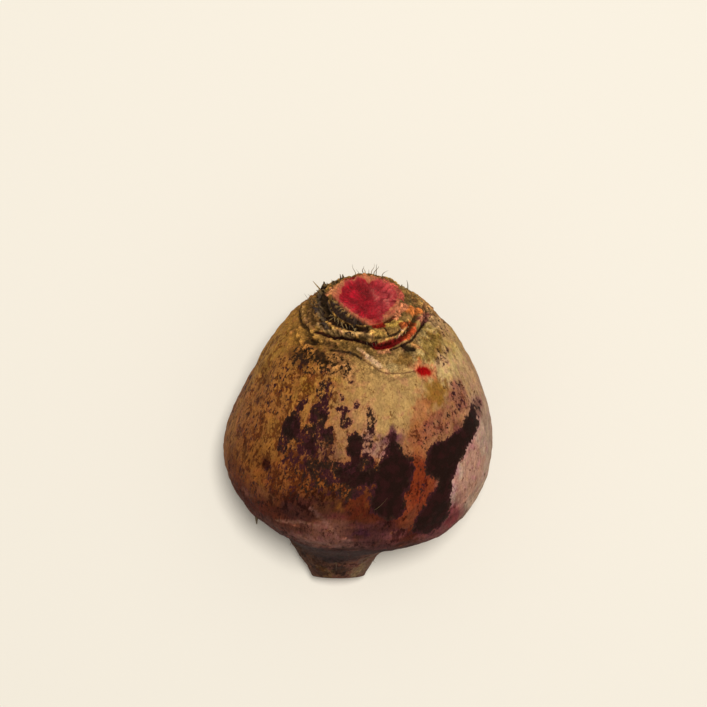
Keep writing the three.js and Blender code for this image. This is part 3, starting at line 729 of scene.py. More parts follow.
def inside_shape(station, angle, corners):
    """The way (mm) from a place on the skin to the nearest side of a drawn shape, positive inside it:
    each side's closest point, with crossings of a line run sideways counted for inside or outside."""
    corners = np.array(corners, float)
    middle = corners[:, 0].mean()
    radius = width_at(corners[:, 1].mean())
    x, y = np.radians(way_round(angle, middle)) * radius, station
    xs, ys = np.radians(corners[:, 0] - middle) * radius, corners[:, 1]
    nearest, inside = np.full(x.shape, 1e9), np.zeros(x.shape, bool)
    for x0, y0, x1, y1 in zip(xs, ys, np.roll(xs, -1), np.roll(ys, -1)):
        dx, dy = x1 - x0, y1 - y0
        t = np.clip(((x - x0) * dx + (y - y0) * dy) / (dx * dx + dy * dy), 0, 1)
        nearest = np.minimum(nearest, np.hypot(x - x0 - t * dx, y - y0 - t * dy))
        crossed = (y0 > y) != (y1 > y)
        inside ^= crossed & (x < x0 + (y - y0) * dx / (dy if dy else 1e-9))
    return np.where(inside, nearest, -nearest)


def dark_field(station, angle, place):
    """How bare the skin is: 0 on the edges of the dark patches, 1 well inside and -1 well outside. Noise
    shifts the places first, so that no patch keeps an even outline."""
    field = np.full(station.shape, -1.0)
    turn = cloudy(place, 3.6, 83) / width_at(station)
    slide = cloudy(place, (3.0, 3.0, 5.0), 89)
    for corners in DARK_SHAPES:
        deep = inside_shape(station + 0.7 * slide, angle + 0.7 * turn, corners)
        field = np.maximum(field, np.clip(deep / DARK_EDGE, -1, 1))
    for middle, level, half_round, half_along, lean, fill in DARK_PATCHES:
        deep = inside_mark(station + 1.1 * slide, angle + 1.1 * turn, middle, level, half_round,
                           half_along, lean)
        field = np.maximum(field, np.minimum(1.3 * deep, fill))
    return field


def speckle_amount(station, angle):
    """How densely dark flecks lie in the cork: most on the left shoulder, least on the upper front."""
    left = band(way_round(angle, 92), 0, 30, 120, 170)
    top = 1 - ease(station, 40, 62)
    amount = 0.42 + 0.36 * left * (0.35 + 0.65 * top)
    amount += 0.35 * np.exp(-((station - 7) / 4) ** 2) * (0.4 + 0.6 * left)
    for middle, level, half_round, half_along, more in SPECKLED:
        amount += more * mound(station, angle, middle, level, half_round, half_along)
    return np.clip(amount, 0, 1)


def crown_cut(rim, angle):
    """The knife cut across the crown: rings at shares of the way from its middle to the rim, raised
    along the root's axis. The height is noise, a dish that follows 1 - share^2, folds on the side
    towards +X that follow a sine of the share, a notch, and a lip exp(-way^2) round the flesh's edge;
    beyond it, torn fibres and teeth drop away to the rim. x and y are mm on the cut."""
    rows = np.linspace(0, 1, CROWN_CUT_ROWS + 1)[1:-1][:, None]
    centre = rim.mean(axis=0)
    flat = centre + (rim - centre) * rows[..., None]
    x, y = rows * CUT_RADIUS * np.cos(angle), rows * CUT_RADIUS * np.sin(angle)
    place = np.stack([x, y, np.zeros_like(x)], -1)
    grain, uneven, fine = cloudy(place, 1.1, 53), cloudy(place, 3.2, 59), cloudy(place, 0.5, 75)
    edge_angle, edge_share = np.array(FLESH_EDGE).T
    edge = np.interp(np.degrees(angle), edge_angle, edge_share) * (1 + 0.06 * uneven + 0.03 * grain)
    past = (rows - edge) * CUT_RADIUS  # mm beyond the flesh
    beyond = ease(past, -0.1, 0.5)
    right = round_about(angle, -18, 46) * ease(rows, 0.18, 0.5)
    folds = np.sin(11.0 * rows + 0.06 * way_round(angle, 0) + 2.0 * uneven)
    left = band(way_round(angle, 78), 0, 20, 130, 160)
    # short teeth of dry fibre side by side round the left of the cut
    teeth = ease(np.cos(38 * angle + 2.4 * uneven) + 0.5 * grain, 0.1, 0.8)
    teeth = teeth * left * ease(way_round(angle, 110), 0, 18) * beyond
    teeth = teeth * (1 - ease(past - 0.5 * uneven, 0.7, 1.9))
    # the notch where two leaf bases meet in front of the cut
    notch = np.exp(-((x - 8.5) / 1.1) ** 2 - ((y - 0.2 + 0.2 * x - 1.7) / 0.42) ** 2)
    height = 0.16 * grain + 0.45 * uneven * rows - CUT_DISH * (1 - rows ** 2)
    height += 0.40 * right * folds - 0.6 * notch
    height += 0.45 * np.exp(-(past + 0.25) ** 2 / 0.12) * (0.7 + 0.6 * uneven) - 0.9 * beyond
    height += beyond * 0.45 * cloudy(place, 0.6, 65) + 0.12 * fine + 0.45 * teeth
    height *= 1 - ease(rows, 0.965, 1.0)
    points = flat + height[..., None] * ALONG
    spoke = np.stack(np.broadcast_arrays(9 * np.cos(angle), 9 * np.sin(angle), 2 * rows), -1)
    radial = cloudy(spoke, 1.0, 61)
    tone = np.broadcast_to(paint(*FLESH_RED), place.shape).copy()

    def wash(cover, colour):
        tone[...] = laid_over(tone, paint(*colour), np.clip(cover, 0, 1))

    wash(0.7 * ease(radial + 0.4 * uneven - 0.10 * (x + 1), 0.0, 0.9), FLESH_BRIGHT)
    wash(0.95 * np.exp(-((x - 1.0) / 2.9) ** 2 - ((y + 4.4) / 3.0) ** 2) + 0.2 * grain, FLESH_DEEP)
    wash(0.5 * ease(-uneven, 0.2, 0.8), FLESH_DEEP)
    wash(0.85 * right, FLESH_FADED)
    # painted light on the folds: pinker and paler towards the crests as a highlight, deep red in the
    # troughs as shade
    wash(0.5 * right * ease(folds + 0.4 * grain, -0.6, 0.7), FLESH_PINK)
    wash(0.45 * right * ease(folds + 0.3 * grain, 0.75, 1.0), FLESH_RIDGE_HIGHLIGHT)
    wash(0.6 * right * ease(-folds, 0.4, 0.9), FLESH_DEEP)
    wash(0.5 * ease(past + 0.6 * uneven, -2.2, -0.5), FLESH_PINK)
    # painted shade: the sunk notch is darkened deep red
    wash(0.95 * ease(notch, 0.15, 0.6), FLESH_DEEP)
    broad = RIM_BREADTH
    for middle, reach, more in BROAD_RIM:
        broad = broad + more * round_about(angle, middle, reach)
    rim_cover = 0.92 * ease(past + 0.7 * grain + 0.5 * uneven, -0.5 * broad, -0.5 * broad + 0.6)
    wash(rim_cover, RIM_TAN)
    wash(0.75 * rim_cover * ease(cloudy(place, 1.6, 71) + 0.4 * grain, 0.0, 0.6), RIM_PINK)
    frayed = rows + 0.05 * grain
    wash(0.85 * round_about(angle, 84, 13) * ease(frayed, 0.66, 0.78), RIM_TORN)
    wash(0.9 * round_about(angle, 65, 8) * ease(frayed, 0.80, 0.9), NICK_RED)
    wash(beyond * 0.95, FIBRE_BROWN)
    wash(beyond * left * 0.95, FIBRE_BLACK)
    wash(teeth, TOOTH_TAN)
    tone *= np.exp(0.26 * fine + 0.20 * radial)[..., None]
    return points, centre - CUT_DISH * ALONG, tone, place


def tap_cut(rim, angle):
    """The upright cut across the tap root: rings in one plane at shares of the way from its middle to
    its rim, coloured pale and dark by a cosine of that share."""
    rows = np.linspace(1, 0, TAP_CUT_ROWS + 1)[1:-1][:, None]
    centre = rim.mean(axis=0)
    points = centre + (rim - centre) * rows[..., None]
    x, y = rows * 8 * np.cos(angle), rows * 8 * np.sin(angle)
    place = np.stack([x, y, np.zeros_like(x)], -1)
    grain = cloudy(place, 1.4, 67)
    ring = 0.5 + 0.5 * np.cos(rows * 15 + 1.2 * grain)
    tone = laid_over(paint(*TAP_PALE_RING), paint(*TAP_DARK_RING), ring)
    tone = laid_over(tone, paint(*TAP_BARK), ease(rows + 0.05 * grain, 0.86, 0.95))
    return points, centre, tone, place


def build_root(skin, flesh):
    """The skin is root_point(share, angle, relief) on rings from the crown's cut to the tap root's, flat
    where it rests. The relief is the lobes, the swellings and the leaf bases frayed by noise, with cork,
    furrows, torn fibres, drawn lines and the foot's wrinkles on top. The two cuts close it."""
    angle = np.arange(ROUND_STEPS) * 2 * np.pi / ROUND_STEPS
    along = np.concatenate([np.linspace(0, SHOULDER_SHARE, SHOULDER_ROWS, endpoint=False),
                            np.linspace(SHOULDER_SHARE, 1, BODY_ROWS)])[:, None]
    share = along * trim_share(angle)
    angle_grid = np.broadcast_to(angle, share.shape)
    station, radius = outline_at(share)
    place = np.stack([radius * np.cos(angle), radius * np.sin(angle), station], -1)

    crown = 1 - ease(station, 8, 15)
    near_trim = 1 - ease(along, 0.965, 1.0)
    wet = near_line(station, angle_grid, WET_GROOVE, WET_REACH)
    wander = 0.55 * cloudy(place, (1.1, 1.1, 2.0), 3) * crown * (1 - 0.8 * wet)
    lip, crevice = leaf_bases(station, angle_grid, wander)
    broad = lobes(station, angle_grid, radius) + swellings(station, angle_grid)
    dark = dark_field(station, angle_grid, place)
    cork = 1 - ease(dark + 0.2 * cloudy(place, (1.5, 1.5, 4.0), 5), -0.1, 0.2)

    def layer(name):
        height, size, seed = FINE_RELIEF[name]
        return height * cloudy(place, size, seed)

    torn = cloudy(place, (0.8, 0.8, 1.4), 41)
    foot = np.exp(-((station - 62) / 11) ** 2)
    wrinkle = cloudy(place * [0.22, 0.22, 1.0], 1.3, 43)
    fine = layer("uneven") * ease(station, 4, 16) + cork * (layer("cork") + CORK_THICKNESS)
    fine = fine + layer("furrow") * np.exp(-((station - 18) / 13) ** 2)
    fine = fine + crown * (layer("wood") + layer("fibre")) * (1 - 0.75 * wet)
    fine = fine + line_relief(station, angle_grid, torn * (1 - 0.8 * wet))
    fine = fine + layer("tap ridge") * ease(station, 76, 92) + FOOT_WRINKLE * foot * wrinkle
    relief = broad + lip - 0.85 * crevice + fine * near_trim
    points = root_point(share, angle_grid, relief)
    points[..., 2] = np.maximum(points[..., 2], 0.0)
    points[-1, :, 1] = TRIM_Y - PLAN_MIDDLE[1]

    cut_points, crown_middle, cut_tone, cut_place = crown_cut(points[0], angle)
    end_points, tap_middle, end_tone, end_place = tap_cut(points[-1], angle)
    tone = skin_tone(station, angle_grid, place, lip, crevice)
    # painted light: raised places are painted lighter and sunken ones darker, as highlight and shade, more
    # so on the crown; the foot's wrinkles are painted light and dark the same way
    proud = np.clip(standing_proud(relief, 5), -0.6, 0.6)
    tone = np.clip(tone * np.exp((0.7 + 0.9 * crown) * proud + 0.32 * foot * wrinkle)[..., None], 0, 1)

    def whole(first, on_cut, on_skin, on_end, last):
        """Values at the crown cut's middle, on all rings in turn, and at the tap cut's middle."""
        rings = np.concatenate([on_cut, on_skin, on_end])
        return np.concatenate([[first], rings.reshape(-1, *rings.shape[2:]), [last]])

    def skin_only(on_skin):
        return whole(0.0, np.zeros(cut_points.shape[:2]), on_skin, np.zeros(end_points.shape[:2]), 0.0)

    all_points = whole(crown_middle, cut_points, points, end_points, tap_middle)
    values = {
        "tone": whole(cut_tone[0].mean(0), cut_tone, tone, end_tone, end_tone[-1].mean(0)),
        "grain_place": whole(np.zeros(3), cut_place, place, end_place, np.zeros(3)),
        "bare": skin_only(dark),
        "speckle": skin_only(speckle_amount(station, angle_grid) * (1 - 0.6 * crown)),
        "rough_cork": skin_only(np.clip(0.35 + 0.65 * crown + 0.25 * ease(station, 70, 90), 0, 1))}
    rows = len(cut_points) + len(points) + len(end_points)
    quads = ring_faces(rows, ROUND_STEPS, 1)
    last = len(all_points) - 1
    faces = (quads.tolist() + fan_faces(0, 1, ROUND_STEPS, True).tolist()
             + fan_faces(last, last - ROUND_STEPS, ROUND_STEPS, False).tolist())
    row_of_quad = np.repeat(np.arange(rows - 1), ROUND_STEPS)
    cut = (row_of_quad < len(cut_points)) | (row_of_quad >= rows - 1 - len(end_points))
    kinds = np.concatenate([cut.astype(np.int32), np.ones(2 * ROUND_STEPS, np.int32)])
    return make_mesh("beet_root", all_points, faces, [skin, flesh], values, kinds)


# Bristles, rootlets and dry sheaths


def grow(rng, places, lengths, leans, curls, thick, rings, sides):
    """Tapering tubes rooted under the skin: root + length * t * outward, bent sideways by
    length * (curl * t^2 + a slight wave)."""
    angle, station = places[:, 0], places[:, 1]
    share = share_at(station)
    root = root_point(share, angle, coarse_relief(share, angle))
    outward = (np.cos(angle)[:, None] * ACROSS + np.sin(angle)[:, None] * UPPER + leans[:, None] * ALONG)
    outward /= np.linalg.norm(outward, axis=-1, keepdims=True)
    sideways = np.cross(outward, rng.normal(size=outward.shape))
    sideways /= np.linalg.norm(sideways, axis=-1, keepdims=True)
    t = np.linspace(0, 1, rings)
    travel = lengths[:, None] * t - ROOTED
    wave = 0.12 * np.sin(7 * t + rng.uniform(0, 6.28, (len(places), 1)))
    paths = (root[:, None] + travel[..., None] * outward[:, None]
             + (lengths[:, None] * (curls[:, None] * t ** 2 + wave))[..., None] * sideways[:, None])
    radii = thick[:, None] * (1.0 - 0.86 * t[None, :] ** 1.3)
    return tubes(paths, radii, sides)


def build_bristles(material):
    """Tufts of bristles, spread evenly round each tuft's middle with a random shift."""
    rng = np.random.default_rng(407)
    rows = []
    for angle, station, spread, count, length, lean in TUFTS:
        turn = angle + (2 * (np.arange(count) + rng.uniform(0, 1, count)) / count - 1) * spread
        rows.append(np.c_[np.radians(turn), np.clip(station + rng.normal(0, 0.5, count), 0, 12),
                          length * rng.uniform(0.3, 1.3, count), lean + rng.normal(0, 0.4, count)])
    rows = np.concatenate(rows)
    count = len(rows)
    points, faces, each = grow(rng, rows[:, :2], rows[:, 2], rows[:, 3], rng.normal(0, 0.35, count),
                               rng.uniform(0.12, 0.22, count), rings=8, sides=6)
    dry = rng.uniform(0, 1, count) ** 1.4
    tone = np.repeat(laid_over(paint(*DRY_DARK), paint(*DRY_TAN), dry), each, axis=0)
    return make_mesh("crown_bristles", points, faces, [material], {"tone": tone, "grain_place": points})


def build_strands(material):
    """Single hairs, each a tube along root + 2t(1 - t) * bend + t^2 * tip."""
    angle = np.radians([row[0] for row in STRANDS])
    share = share_at(np.array([row[1] for row in STRANDS], float))
    root = root_point(share, angle, coarse_relief(share, angle) - 0.4)
    bend, tip, thick, pale = (np.array([row[k] for row in STRANDS]) for k in (2, 3, 4, 5))
    t = np.linspace(0, 1, 14)[None, :, None]
    paths = root[:, None] + 2 * t * (1 - t) * bend[:, None] + t ** 2 * tip[:, None]
    radii = thick[:, None] * (1.0 - 0.75 * t[..., 0] ** 1.5)
    points, faces, each = tubes(paths, radii, sides=7)
    tone = np.repeat(laid_over(paint(*DRY_DARK), paint(*DRY_TAN), pale), each, axis=0)
    return make_mesh("single_hairs", points, faces, [material], {"tone": tone, "grain_place": points})


def build_rootlets(material):
    """A few long rootlets and many small ones on the tap root, none of them below the surface."""
    rng = np.random.default_rng(58)
    rows = np.array(ROOTLETS) * [np.pi / 180, 1, 1, 1, 1]
    few = SMALL_ROOTLETS
    extra = np.c_[rng.uniform(0, 2 * np.pi, few), rng.uniform(64, 100, few), rng.uniform(0.8, 2.0, few),
                  rng.normal(0.3, 0.3, few), np.full(few, 0.11)]
    rows = np.concatenate([rows, extra])
    count = len(rows)
    points, faces, each = grow(rng, rows[:, :2], rows[:, 2], np.full(count, -0.9), rows[:, 3],
                               rows[:, 4], rings=9, sides=7)
    points[:, 2] = np.maximum(points[:, 2], 0.05)
    tone = np.repeat(paint(*ROOTLET_BROWN) * rng.uniform(0.3, 0.8, (count, 1)), each, axis=0)
    return make_mesh("rootlets", points, faces, [material], {"tone": tone, "grain_place": points})


def build_sheaths(material):
    """Torn papery strips of old leaf stalks. Each is a sheet across its width u (-1 to 1) and up its
    length v: root + v * length(u) * outward, with its ragged end length(u) frayed by noise, its sides
    curled in by u^2 and its tip bent over by v^2."""
    rng = np.random.default_rng(91)
    strips = []
    for middle, spread, station, count, length, lean, dark in SHEATHS:
        for k in range(count):
            turn = middle + (2 * (k + rng.uniform()) / count - 1) * spread
            strips.append((np.radians(turn), max(0.5, station + rng.normal(0, 0.45)),
                           rng.uniform(0.7, 1.9), length * rng.uniform(0.6, 1.3),
                           lean + rng.normal(0, 0.35), dark, rng.uniform(-0.7, 0.5)))
    u, v = np.meshgrid(np.linspace(-1, 1, 11), np.linspace(0, 1, 12), indexing="ij")
    all_points, all_faces, all_tones = [], [], []
    for number, (angle, station, half, length, lean, dark, curl) in enumerate(strips):
        angle, share = np.array(angle), np.array(share_at(station))
        root = root_point(share, angle, coarse_relief(share, angle))
        outward = np.cos(angle) * ACROSS + np.sin(angle) * UPPER
        side = np.cross(ALONG, outward)
        grow_way = outward * 0.55 + ALONG * lean * 0.6
        grow_way /= np.linalg.norm(grow_way)
        bend_way = np.cross(side, grow_way)
        specks = cloudy(np.stack([u * 2.5 + number * 9.1, v * 2.0, 0 * u], -1), 1.0, 73)
        fray = cloudy(np.stack([u * 5.0 + number * 7.3, 0 * u, 0 * u], -1), 1.0, 79)
        reach = length * (0.75 + 0.35 * fray) * (1 - 0.35 * u ** 2)
        points = (root + (v * reach - 0.5)[..., None] * grow_way
                  + (u * half * (1 - 0.35 * v))[..., None] * side
                  + (0.55 * half * u ** 2 + curl * length * v ** 2 + 0.22 * specks)[..., None] * bend_way)
        all_points.append(points.reshape(-1, 3))
        all_faces.append(sheet_faces(*u.shape, number * u.size))
        brown = np.clip(dark + 0.35 * specks - 0.5 * v * (1 - dark), 0, 1)
        all_tones.append(laid_over(paint(*DRY_TAN), paint(*SHEATH_BROWN), brown).reshape(-1, 3))
    points = np.concatenate(all_points)
    piece = make_mesh("leaf_sheaths", points, np.concatenate(all_faces).tolist(), [material],
                      {"tone": np.concatenate(all_tones), "grain_place": points})
    wall = piece.modifiers.new("wall", "SOLIDIFY")
    wall.thickness = SHEATH_WALL * MM
    wall.offset = 0.0
    return piece


# Materials


def link(tree, start, end):
    tree.links.new(start, end)


def node(tree, kind, **settings):
    made = tree.nodes.new(kind)
    for key, value in settings.items():
        setattr(made, key, value)
    return made


def put(tree, socket, value):
    """Sets a socket to a number or links it to another socket."""
    if isinstance(value, bpy.types.NodeSocket):
        tree.links.new(value, socket)
    else:
        socket.default_value = value


def maths(tree, operation, first, second, clamp=False):
    made = node(tree, "ShaderNodeMath", operation=operation, use_clamp=clamp)
    put(tree, made.inputs[0], first)
    put(tree, made.inputs[1], second)
    return made.outputs[0]


def times(tree, first, second, clamp=False):
    return maths(tree, "MULTIPLY", first, second, clamp)


def minus(tree, first, second):
    return maths(tree, "SUBTRACT", first, second)


def sum_of(tree, start, *parts):
    """start, and each (value, weight) product added to it in turn."""
    for value, weight in parts:
        start = maths(tree, "ADD", start, times(tree, value, weight))
    return start


def blend(tree, share, first, second):
    made = node(tree, "ShaderNodeMix", data_type="RGBA")
    put(tree, made.inputs["Factor"], share)
    put(tree, made.inputs["A"], first)
    put(tree, made.inputs["B"], second)
    return made.outputs["Result"]


def smooth_step(tree, value, low, high):
    """0 below low, 1 above high, smooth between."""
    made = node(tree, "ShaderNodeMapRange", interpolation_type="SMOOTHSTEP")
    put(tree, made.inputs["Value"], value)
    put(tree, made.inputs["From Min"], low)
    put(tree, made.inputs["From Max"], high)
    return made.outputs["Result"]


def noise(tree, place, scale, detail=3.0, roughness=0.55):
    made = node(tree, "ShaderNodeTexNoise")
    put(tree, made.inputs["Vector"], place)
    put(tree, made.inputs["Scale"], scale)
    put(tree, made.inputs["Detail"], detail)
    put(tree, made.inputs["Roughness"], roughness)
    return made.outputs["Fac"]


def stretch(tree, place, scale):
    made = node(tree, "ShaderNodeMapping")
    put(tree, made.inputs["Vector"], place)
    made.inputs["Scale"].default_value = scale
    return made.outputs["Vector"]


def attribute(tree, name, output="Fac"):
    return node(tree, "ShaderNodeAttribute", attribute_name=name).outputs[output]


def tone_colour(colour):
    return (*paint(*colour), 1.0)


def new_group(name, inputs, outputs):
    group = bpy.data.node_groups.new(name, "ShaderNodeTree")
    for socket, kind, value in inputs:
        made = group.interface.new_socket(socket, in_out="INPUT", socket_type=kind)
        if value is not None:
            made.default_value = value
    for socket, kind in outputs:
        group.interface.new_socket(socket, in_out="OUTPUT", socket_type=kind)
    return group, node(group, "NodeGroupInput").outputs, node(group, "NodeGroupOutput").inputs


def use_group(tree, group, **values):
    made = node(tree, "ShaderNodeGroup", node_tree=group)
    for name, value in values.items():
        put(tree, made.inputs[name.capitalize()], value)
    return made.outputs


def mottle_group():
    """Clumps of small flecks: fine noise gathered by coarse noise, cut at a level set by Amount."""
    group, given, out = new_group("cork_mottle", [
        ("Place", "NodeSocketVector", None), ("Amount", "NodeSocketFloat", 0.5),
        ("Grain", "NodeSocketFloat", 1.0)], [("Mask", "NodeSocketFloat")])
    fine = noise(group, given["Place"], given["Grain"], 4.0, 0.62)
    coarse = noise(group, given["Place"], times(group, given["Grain"], 0.28), 2.0)
    level = sum_of(group, times(group, fine, 0.52), (coarse, 0.48))
    edge = sum_of(group, 0.68, (given["Amount"], -0.24))
    link(group, smooth_step(group, level, edge, maths(group, "ADD", edge, 0.075)), out["Mask"])
    return group


def ragged_group():
    """A soft field, 0 on the patch's edge, cut into a ragged patch: noise drawn out along the root and
    finer flecks are added to it before the cut, so shallow places break up into flecks."""
    group, given, out = new_group("ragged_patch", [
        ("Place", "NodeSocketVector", None), ("Field", "NodeSocketFloat", 0.0),
        ("Tear", "NodeSocketFloat", 1.0)], [("Mask", "NodeSocketFloat"), ("Depth", "NodeSocketFloat")])
    tears = noise(group, stretch(group, given["Place"], (1.0, 1.0, 0.4)), 0.8, 3.0, 0.6)
    fine = noise(group, stretch(group, given["Place"], (1.0, 1.0, 0.7)), 1.5, 3.0, 0.62)
    torn = sum_of(group, fine, (tears, 1.1))
    depth = sum_of(group, given["Field"], (minus(group, torn, 1.05), given["Tear"]))
    link(group, smooth_step(group, depth, -0.08, 0.05), out["Mask"])
    link(group, depth, out["Depth"])
    return group


def start_material(name):
    material = bpy.data.materials.new(name)
    material.use_nodes = True
    tree = material.node_tree
    tree.nodes.clear()
    shader = node(tree, "ShaderNodeBsdfPrincipled")
    link(tree, shader.outputs[0], node(tree, "ShaderNodeOutputMaterial").inputs[0])
    return material, tree, shader


def add_bump(tree, shader, height, distance):
    made = node(tree, "ShaderNodeBump")
    made.inputs["Distance"].default_value = distance * MM
    put(tree, made.inputs["Height"], height)
    link(tree, made.outputs["Normal"], shader.inputs["Normal"])


def scaled(tree, colour, factor):
    made = node(tree, "ShaderNodeVectorMath", operation="SCALE")
    link(tree, colour, made.inputs[0])
    put(tree, made.inputs["Scale"], factor)
    return made.outputs[0]


def tinted(tree, colour, tint):
    """A colour changed channel by channel, as a stain does."""
    made = node(tree, "ShaderNodeVectorMath", operation="MULTIPLY")
    link(tree, colour, made.inputs[0])
    made.inputs[1].default_value = tint
    return made.outputs[0]


def stained(tree, colour, share, strength, tint):
    return blend(tree, times(tree, share, strength), colour, tinted(tree, colour, tint))


def skin_material(mottle, ragged):
    """Cork with streaks, stains and flecks, over bare plum skin that shows through in ragged patches."""
    material, tree, shader = start_material("beet_skin")
    place = attribute(tree, "grain_place", "Vector")
    drawn = stretch(tree, place, (1.0, 1.0, 0.62))
    torn = use_group(tree, ragged, place=place, field=attribute(tree, "bare"), tear=0.78)
    bare, depth = torn["Mask"], torn["Depth"]
    flecks = use_group(tree, mottle, place=drawn, amount=attribute(tree, "speckle"), grain=1.15)["Mask"]
    tiny = use_group(tree, mottle, place=drawn, amount=0.60, grain=2.3)["Mask"]
    pale = use_group(tree, mottle, place=drawn, amount=0.52, grain=1.5)["Mask"]
    streak = noise(tree, stretch(tree, place, (1.0, 1.0, 0.16)), 1.5, 4.0, 0.6)
    patchy = noise(tree, place, 0.35, 4.0, 0.6)

    # light and dark in the cork: streaks, clouds, grit, and threads where it is woody
    grit = noise(tree, drawn, 1.9, 4.0, 0.7)
    thread = noise(tree, stretch(tree, place, (1.0, 1.0, 0.22)), 3.2, 3.0, 0.6)
    varied = smooth_step(tree, attribute(tree, "speckle"), 0.18, 0.55)
    woody = times(tree, minus(tree, attribute(tree, "rough_cork"), 0.3), 1.5, True)
    shade = sum_of(tree, 0.165, (streak, 0.95), (patchy, 0.80),
                   (minus(tree, grit, 0.5), sum_of(tree, 0.95, (varied, 0.60))),
                   (minus(tree, thread, 0.5), times(tree, woody, 2.4)))
    ground = scaled(tree, attribute(tree, "tone", "Color"), shade)

    # stains, and thin rosy cork round the bare patches
    rosy = smooth_step(tree, noise(tree, place, 0.42, 3.0), 0.50, 0.68)
    golden = smooth_step(tree, noise(tree, stretch(tree, place, (0.8, 1.0, 0.6)), 0.6, 3.0), 0.48, 0.66)
    olive = smooth_step(tree, noise(tree, stretch(tree, place, (1.0, 0.9, 0.7)), 0.8, 4.0), 0.54, 0.68)
    thin = smooth_step(tree, depth, -0.62, -0.10)
    where_varied = times(tree, varied, 0.55)
    for stain, strength, tint in (
            (rosy, 0.7, ROSY_STAIN), (golden, where_varied, GOLDEN_STAIN),
            (olive, where_varied, OLIVE_STAIN), (thin, 0.55, THIN_STAIN)):
        ground = stained(tree, ground, stain, strength, tint)
    colour = stained(tree, ground, pale, 0.30, PALE_STAIN)
    colour = blend(tree, times(tree, flecks, 0.85), colour, tinted(tree, ground, FLECK_STAIN))
    colour = stained(tree, colour, tiny, 0.62, TINY_FLECK_STAIN)

    # bare skin: plum well inside a patch, browner at its edge, wood near the crown
    plum = blend(tree, smooth_step(tree, noise(tree, place, 0.3, 3.0), 0.44, 0.62),
                 tone_colour(PLUM_BLACK), tone_colour(PLUM_RED))
    shallow = blend(tree, smooth_step(tree, noise(tree, place, 0.24, 2.0), 0.42, 0.58),
                    tone_colour(EDGE_BROWN), tone_colour(EDGE_PLUM))
    plum = blend(tree, smooth_step(tree, depth, 0.0, 0.34), shallow, plum)
    dusty = smooth_step(tree, noise(tree, stretch(tree, place, (1.0, 1.0, 0.25)), 2.4, 3.0), 0.58, 0.78)
    plum = blend(tree, times(tree, dusty, 0.08), plum, tone_colour(DUST))
    plum = blend(tree, woody, plum, tone_colour(BARE_WOOD))
    colour = blend(tree, bare, colour, plum)
    link(tree, colour, shader.inputs["Base Color"])

    link(tree, sum_of(tree, 0.60, (patchy, 0.22), (bare, -0.10)), shader.inputs["Roughness"])
    shader.inputs["Specular IOR Level"].default_value = 0.045

    cork = times(tree, noise(tree, place, 2.4, 5.0, 0.65), attribute(tree, "rough_cork"))
    height = sum_of(tree, times(tree, cork, 1.3), (streak, 0.45), (flecks, -0.20), (bare, -0.25))
    add_bump(tree, shader, height, 0.45)
    return material


def flesh_material(mottle):
    """Moist cut flesh, light and dark in cells, with dry flecks."""
    material, tree, shader = start_material("beet_flesh")
    place = attribute(tree, "grain_place", "Vector")
    cells = noise(tree, place, 2.2, 4.0, 0.6)
    ground = scaled(tree, attribute(tree, "tone", "Color"), sum_of(tree, 0.62, (cells, 0.76)))
    dry = use_group(tree, mottle, place=place, amount=0.30, grain=2.6)["Mask"]
    colour = blend(tree, times(tree, dry, 0.22), ground, tone_colour(FLESH_DRIED))
    link(tree, colour, shader.inputs["Base Color"])
    link(tree, sum_of(tree, 0.34, (cells, 0.3)), shader.inputs["Roughness"])
    shader.inputs["Specular IOR Level"].default_value = 0.14
    shader.inputs["Subsurface Weight"].default_value = 0.12
    shader.inputs["Subsurface Radius"].default_value = (1.0, 0.25, 0.2)
    shader.inputs["Subsurface Scale"].default_value = 0.6 * MM
    add_bump(tree, shader, sum_of(tree, cells, (dry, 0.2)), 0.35)
    return material


def dry_material(mottle, name, roughness, grain):
    """Dry plant fibre with dark spots."""
    material, tree, shader = start_material(name)
    place = attribute(tree, "grain_place", "Vector")
    fibre = noise(tree, stretch(tree, place, (1.0, 0.5, 0.5)), grain, 4.0, 0.6)
    ground = scaled(tree, attribute(tree, "tone", "Color"), maths(tree, "ADD", 0.5, fibre))
    spots = use_group(tree, mottle, place=place, amount=0.35, grain=2.0)["Mask"]
    colour = blend(tree, times(tree, spots, 0.5), ground, tone_colour(DRY_SPOT))
    link(tree, colour, shader.inputs["Base Color"])
    link(tree, sum_of(tree, roughness, (fibre, 0.15)), shader.inputs["Roughness"])
    shader.inputs["Specular IOR Level"].default_value = 0.3
    add_bump(tree, shader, fibre, 0.2)
    return material


def floor_material():
    material, tree, shader = start_material("pale_floor")
    place = node(tree, "ShaderNodeTexCoord").outputs["Object"]
    soft = noise(tree, place, 3.0, 2.0)
    colour = blend(tree, soft, tone_colour(FLOOR_CREAM), tone_colour(FLOOR_CREAM_PALE))
    link(tree, colour, shader.inputs["Base Color"])
    shader.inputs["Roughness"].default_value = 0.9
    shader.inputs["Specular IOR Level"].default_value = 0.07
    return material


# Floor, light and camera


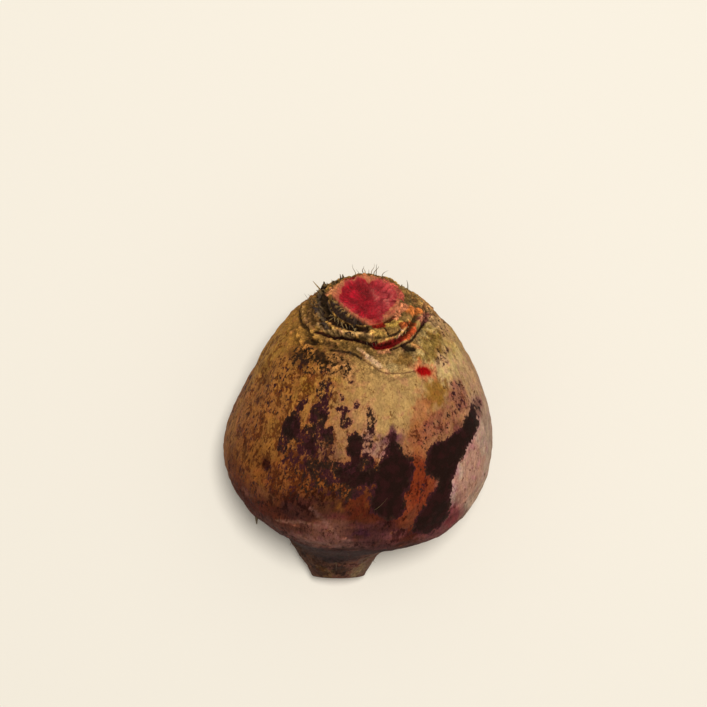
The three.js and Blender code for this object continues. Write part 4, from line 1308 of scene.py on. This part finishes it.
def build_floor(material):
    """A flat sheet just under the surface that the root lies on."""
    corner = np.linspace(-FLOOR_HALF, FLOOR_HALF, 3)
    x, y = np.meshgrid(corner, corner, indexing="ij")
    points = np.stack([x, y, np.full_like(x, FLOOR_LEVEL)], -1).reshape(-1, 3)
    make_mesh("pale_floor", points, sheet_faces(3, 3).tolist(), [material])


def studio():
    """A pale room, one round softbox high above and a little towards the crown end, and a camera that
    looks straight down."""
    scene = bpy.context.scene
    scene.view_settings.view_transform = "Standard"
    scene.view_settings.look = "None"
    world = bpy.data.worlds.new("soft_room")
    world.use_nodes = True
    back = world.node_tree.nodes["Background"]
    back.inputs["Color"].default_value = ROOM_COLOUR
    back.inputs["Strength"].default_value = ROOM_STRENGTH
    scene.world = world

    lamp = bpy.data.lights.new("softbox", "AREA")
    lamp.shape = "DISK"
    lamp.size = SOFTBOX_SIZE
    lamp.energy = SOFTBOX_POWER
    lamp.color = SOFTBOX_COLOUR
    softbox = bpy.data.objects.new("softbox", lamp)
    softbox.location = SOFTBOX_PLACE
    aim = Vector(np.subtract(SOFTBOX_AIM, SOFTBOX_PLACE))
    softbox.rotation_euler = aim.to_track_quat("-Z", "Y").to_euler()
    bpy.context.collection.objects.link(softbox)

    lens = bpy.data.cameras.new("photo_view")
    lens.sensor_width = SENSOR_WIDTH
    lens.lens = SENSOR_WIDTH * CAMERA_RISE / (PICTURE_WIDTH * PIXEL)
    lens.clip_start = 0.01
    camera = bpy.data.objects.new("photo_view", lens)
    middle = CAMERA_SHIFT - PLAN_MIDDLE
    camera.location = (middle[0] * MM, middle[1] * MM, (BELLY_HEIGHT + CAMERA_RISE) * MM)
    bpy.context.collection.objects.link(camera)
    scene.camera = camera


mottle = mottle_group()
ragged = ragged_group()
pieces = [
    build_root(skin_material(mottle, ragged), flesh_material(mottle)),
    build_bristles(dry_material(mottle, "dry_bristle", 0.6, 1.5)),
    build_strands(dry_material(mottle, "pale_hair", 0.6, 1.5)),
    build_sheaths(dry_material(mottle, "dry_leaf_sheath", 0.65, 1.2)),
    build_rootlets(dry_material(mottle, "rootlet_bark", 0.7, 1.0)),
]
for piece in pieces:
    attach(piece, "root")
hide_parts("beetroot")
build_floor(floor_material())
studio()
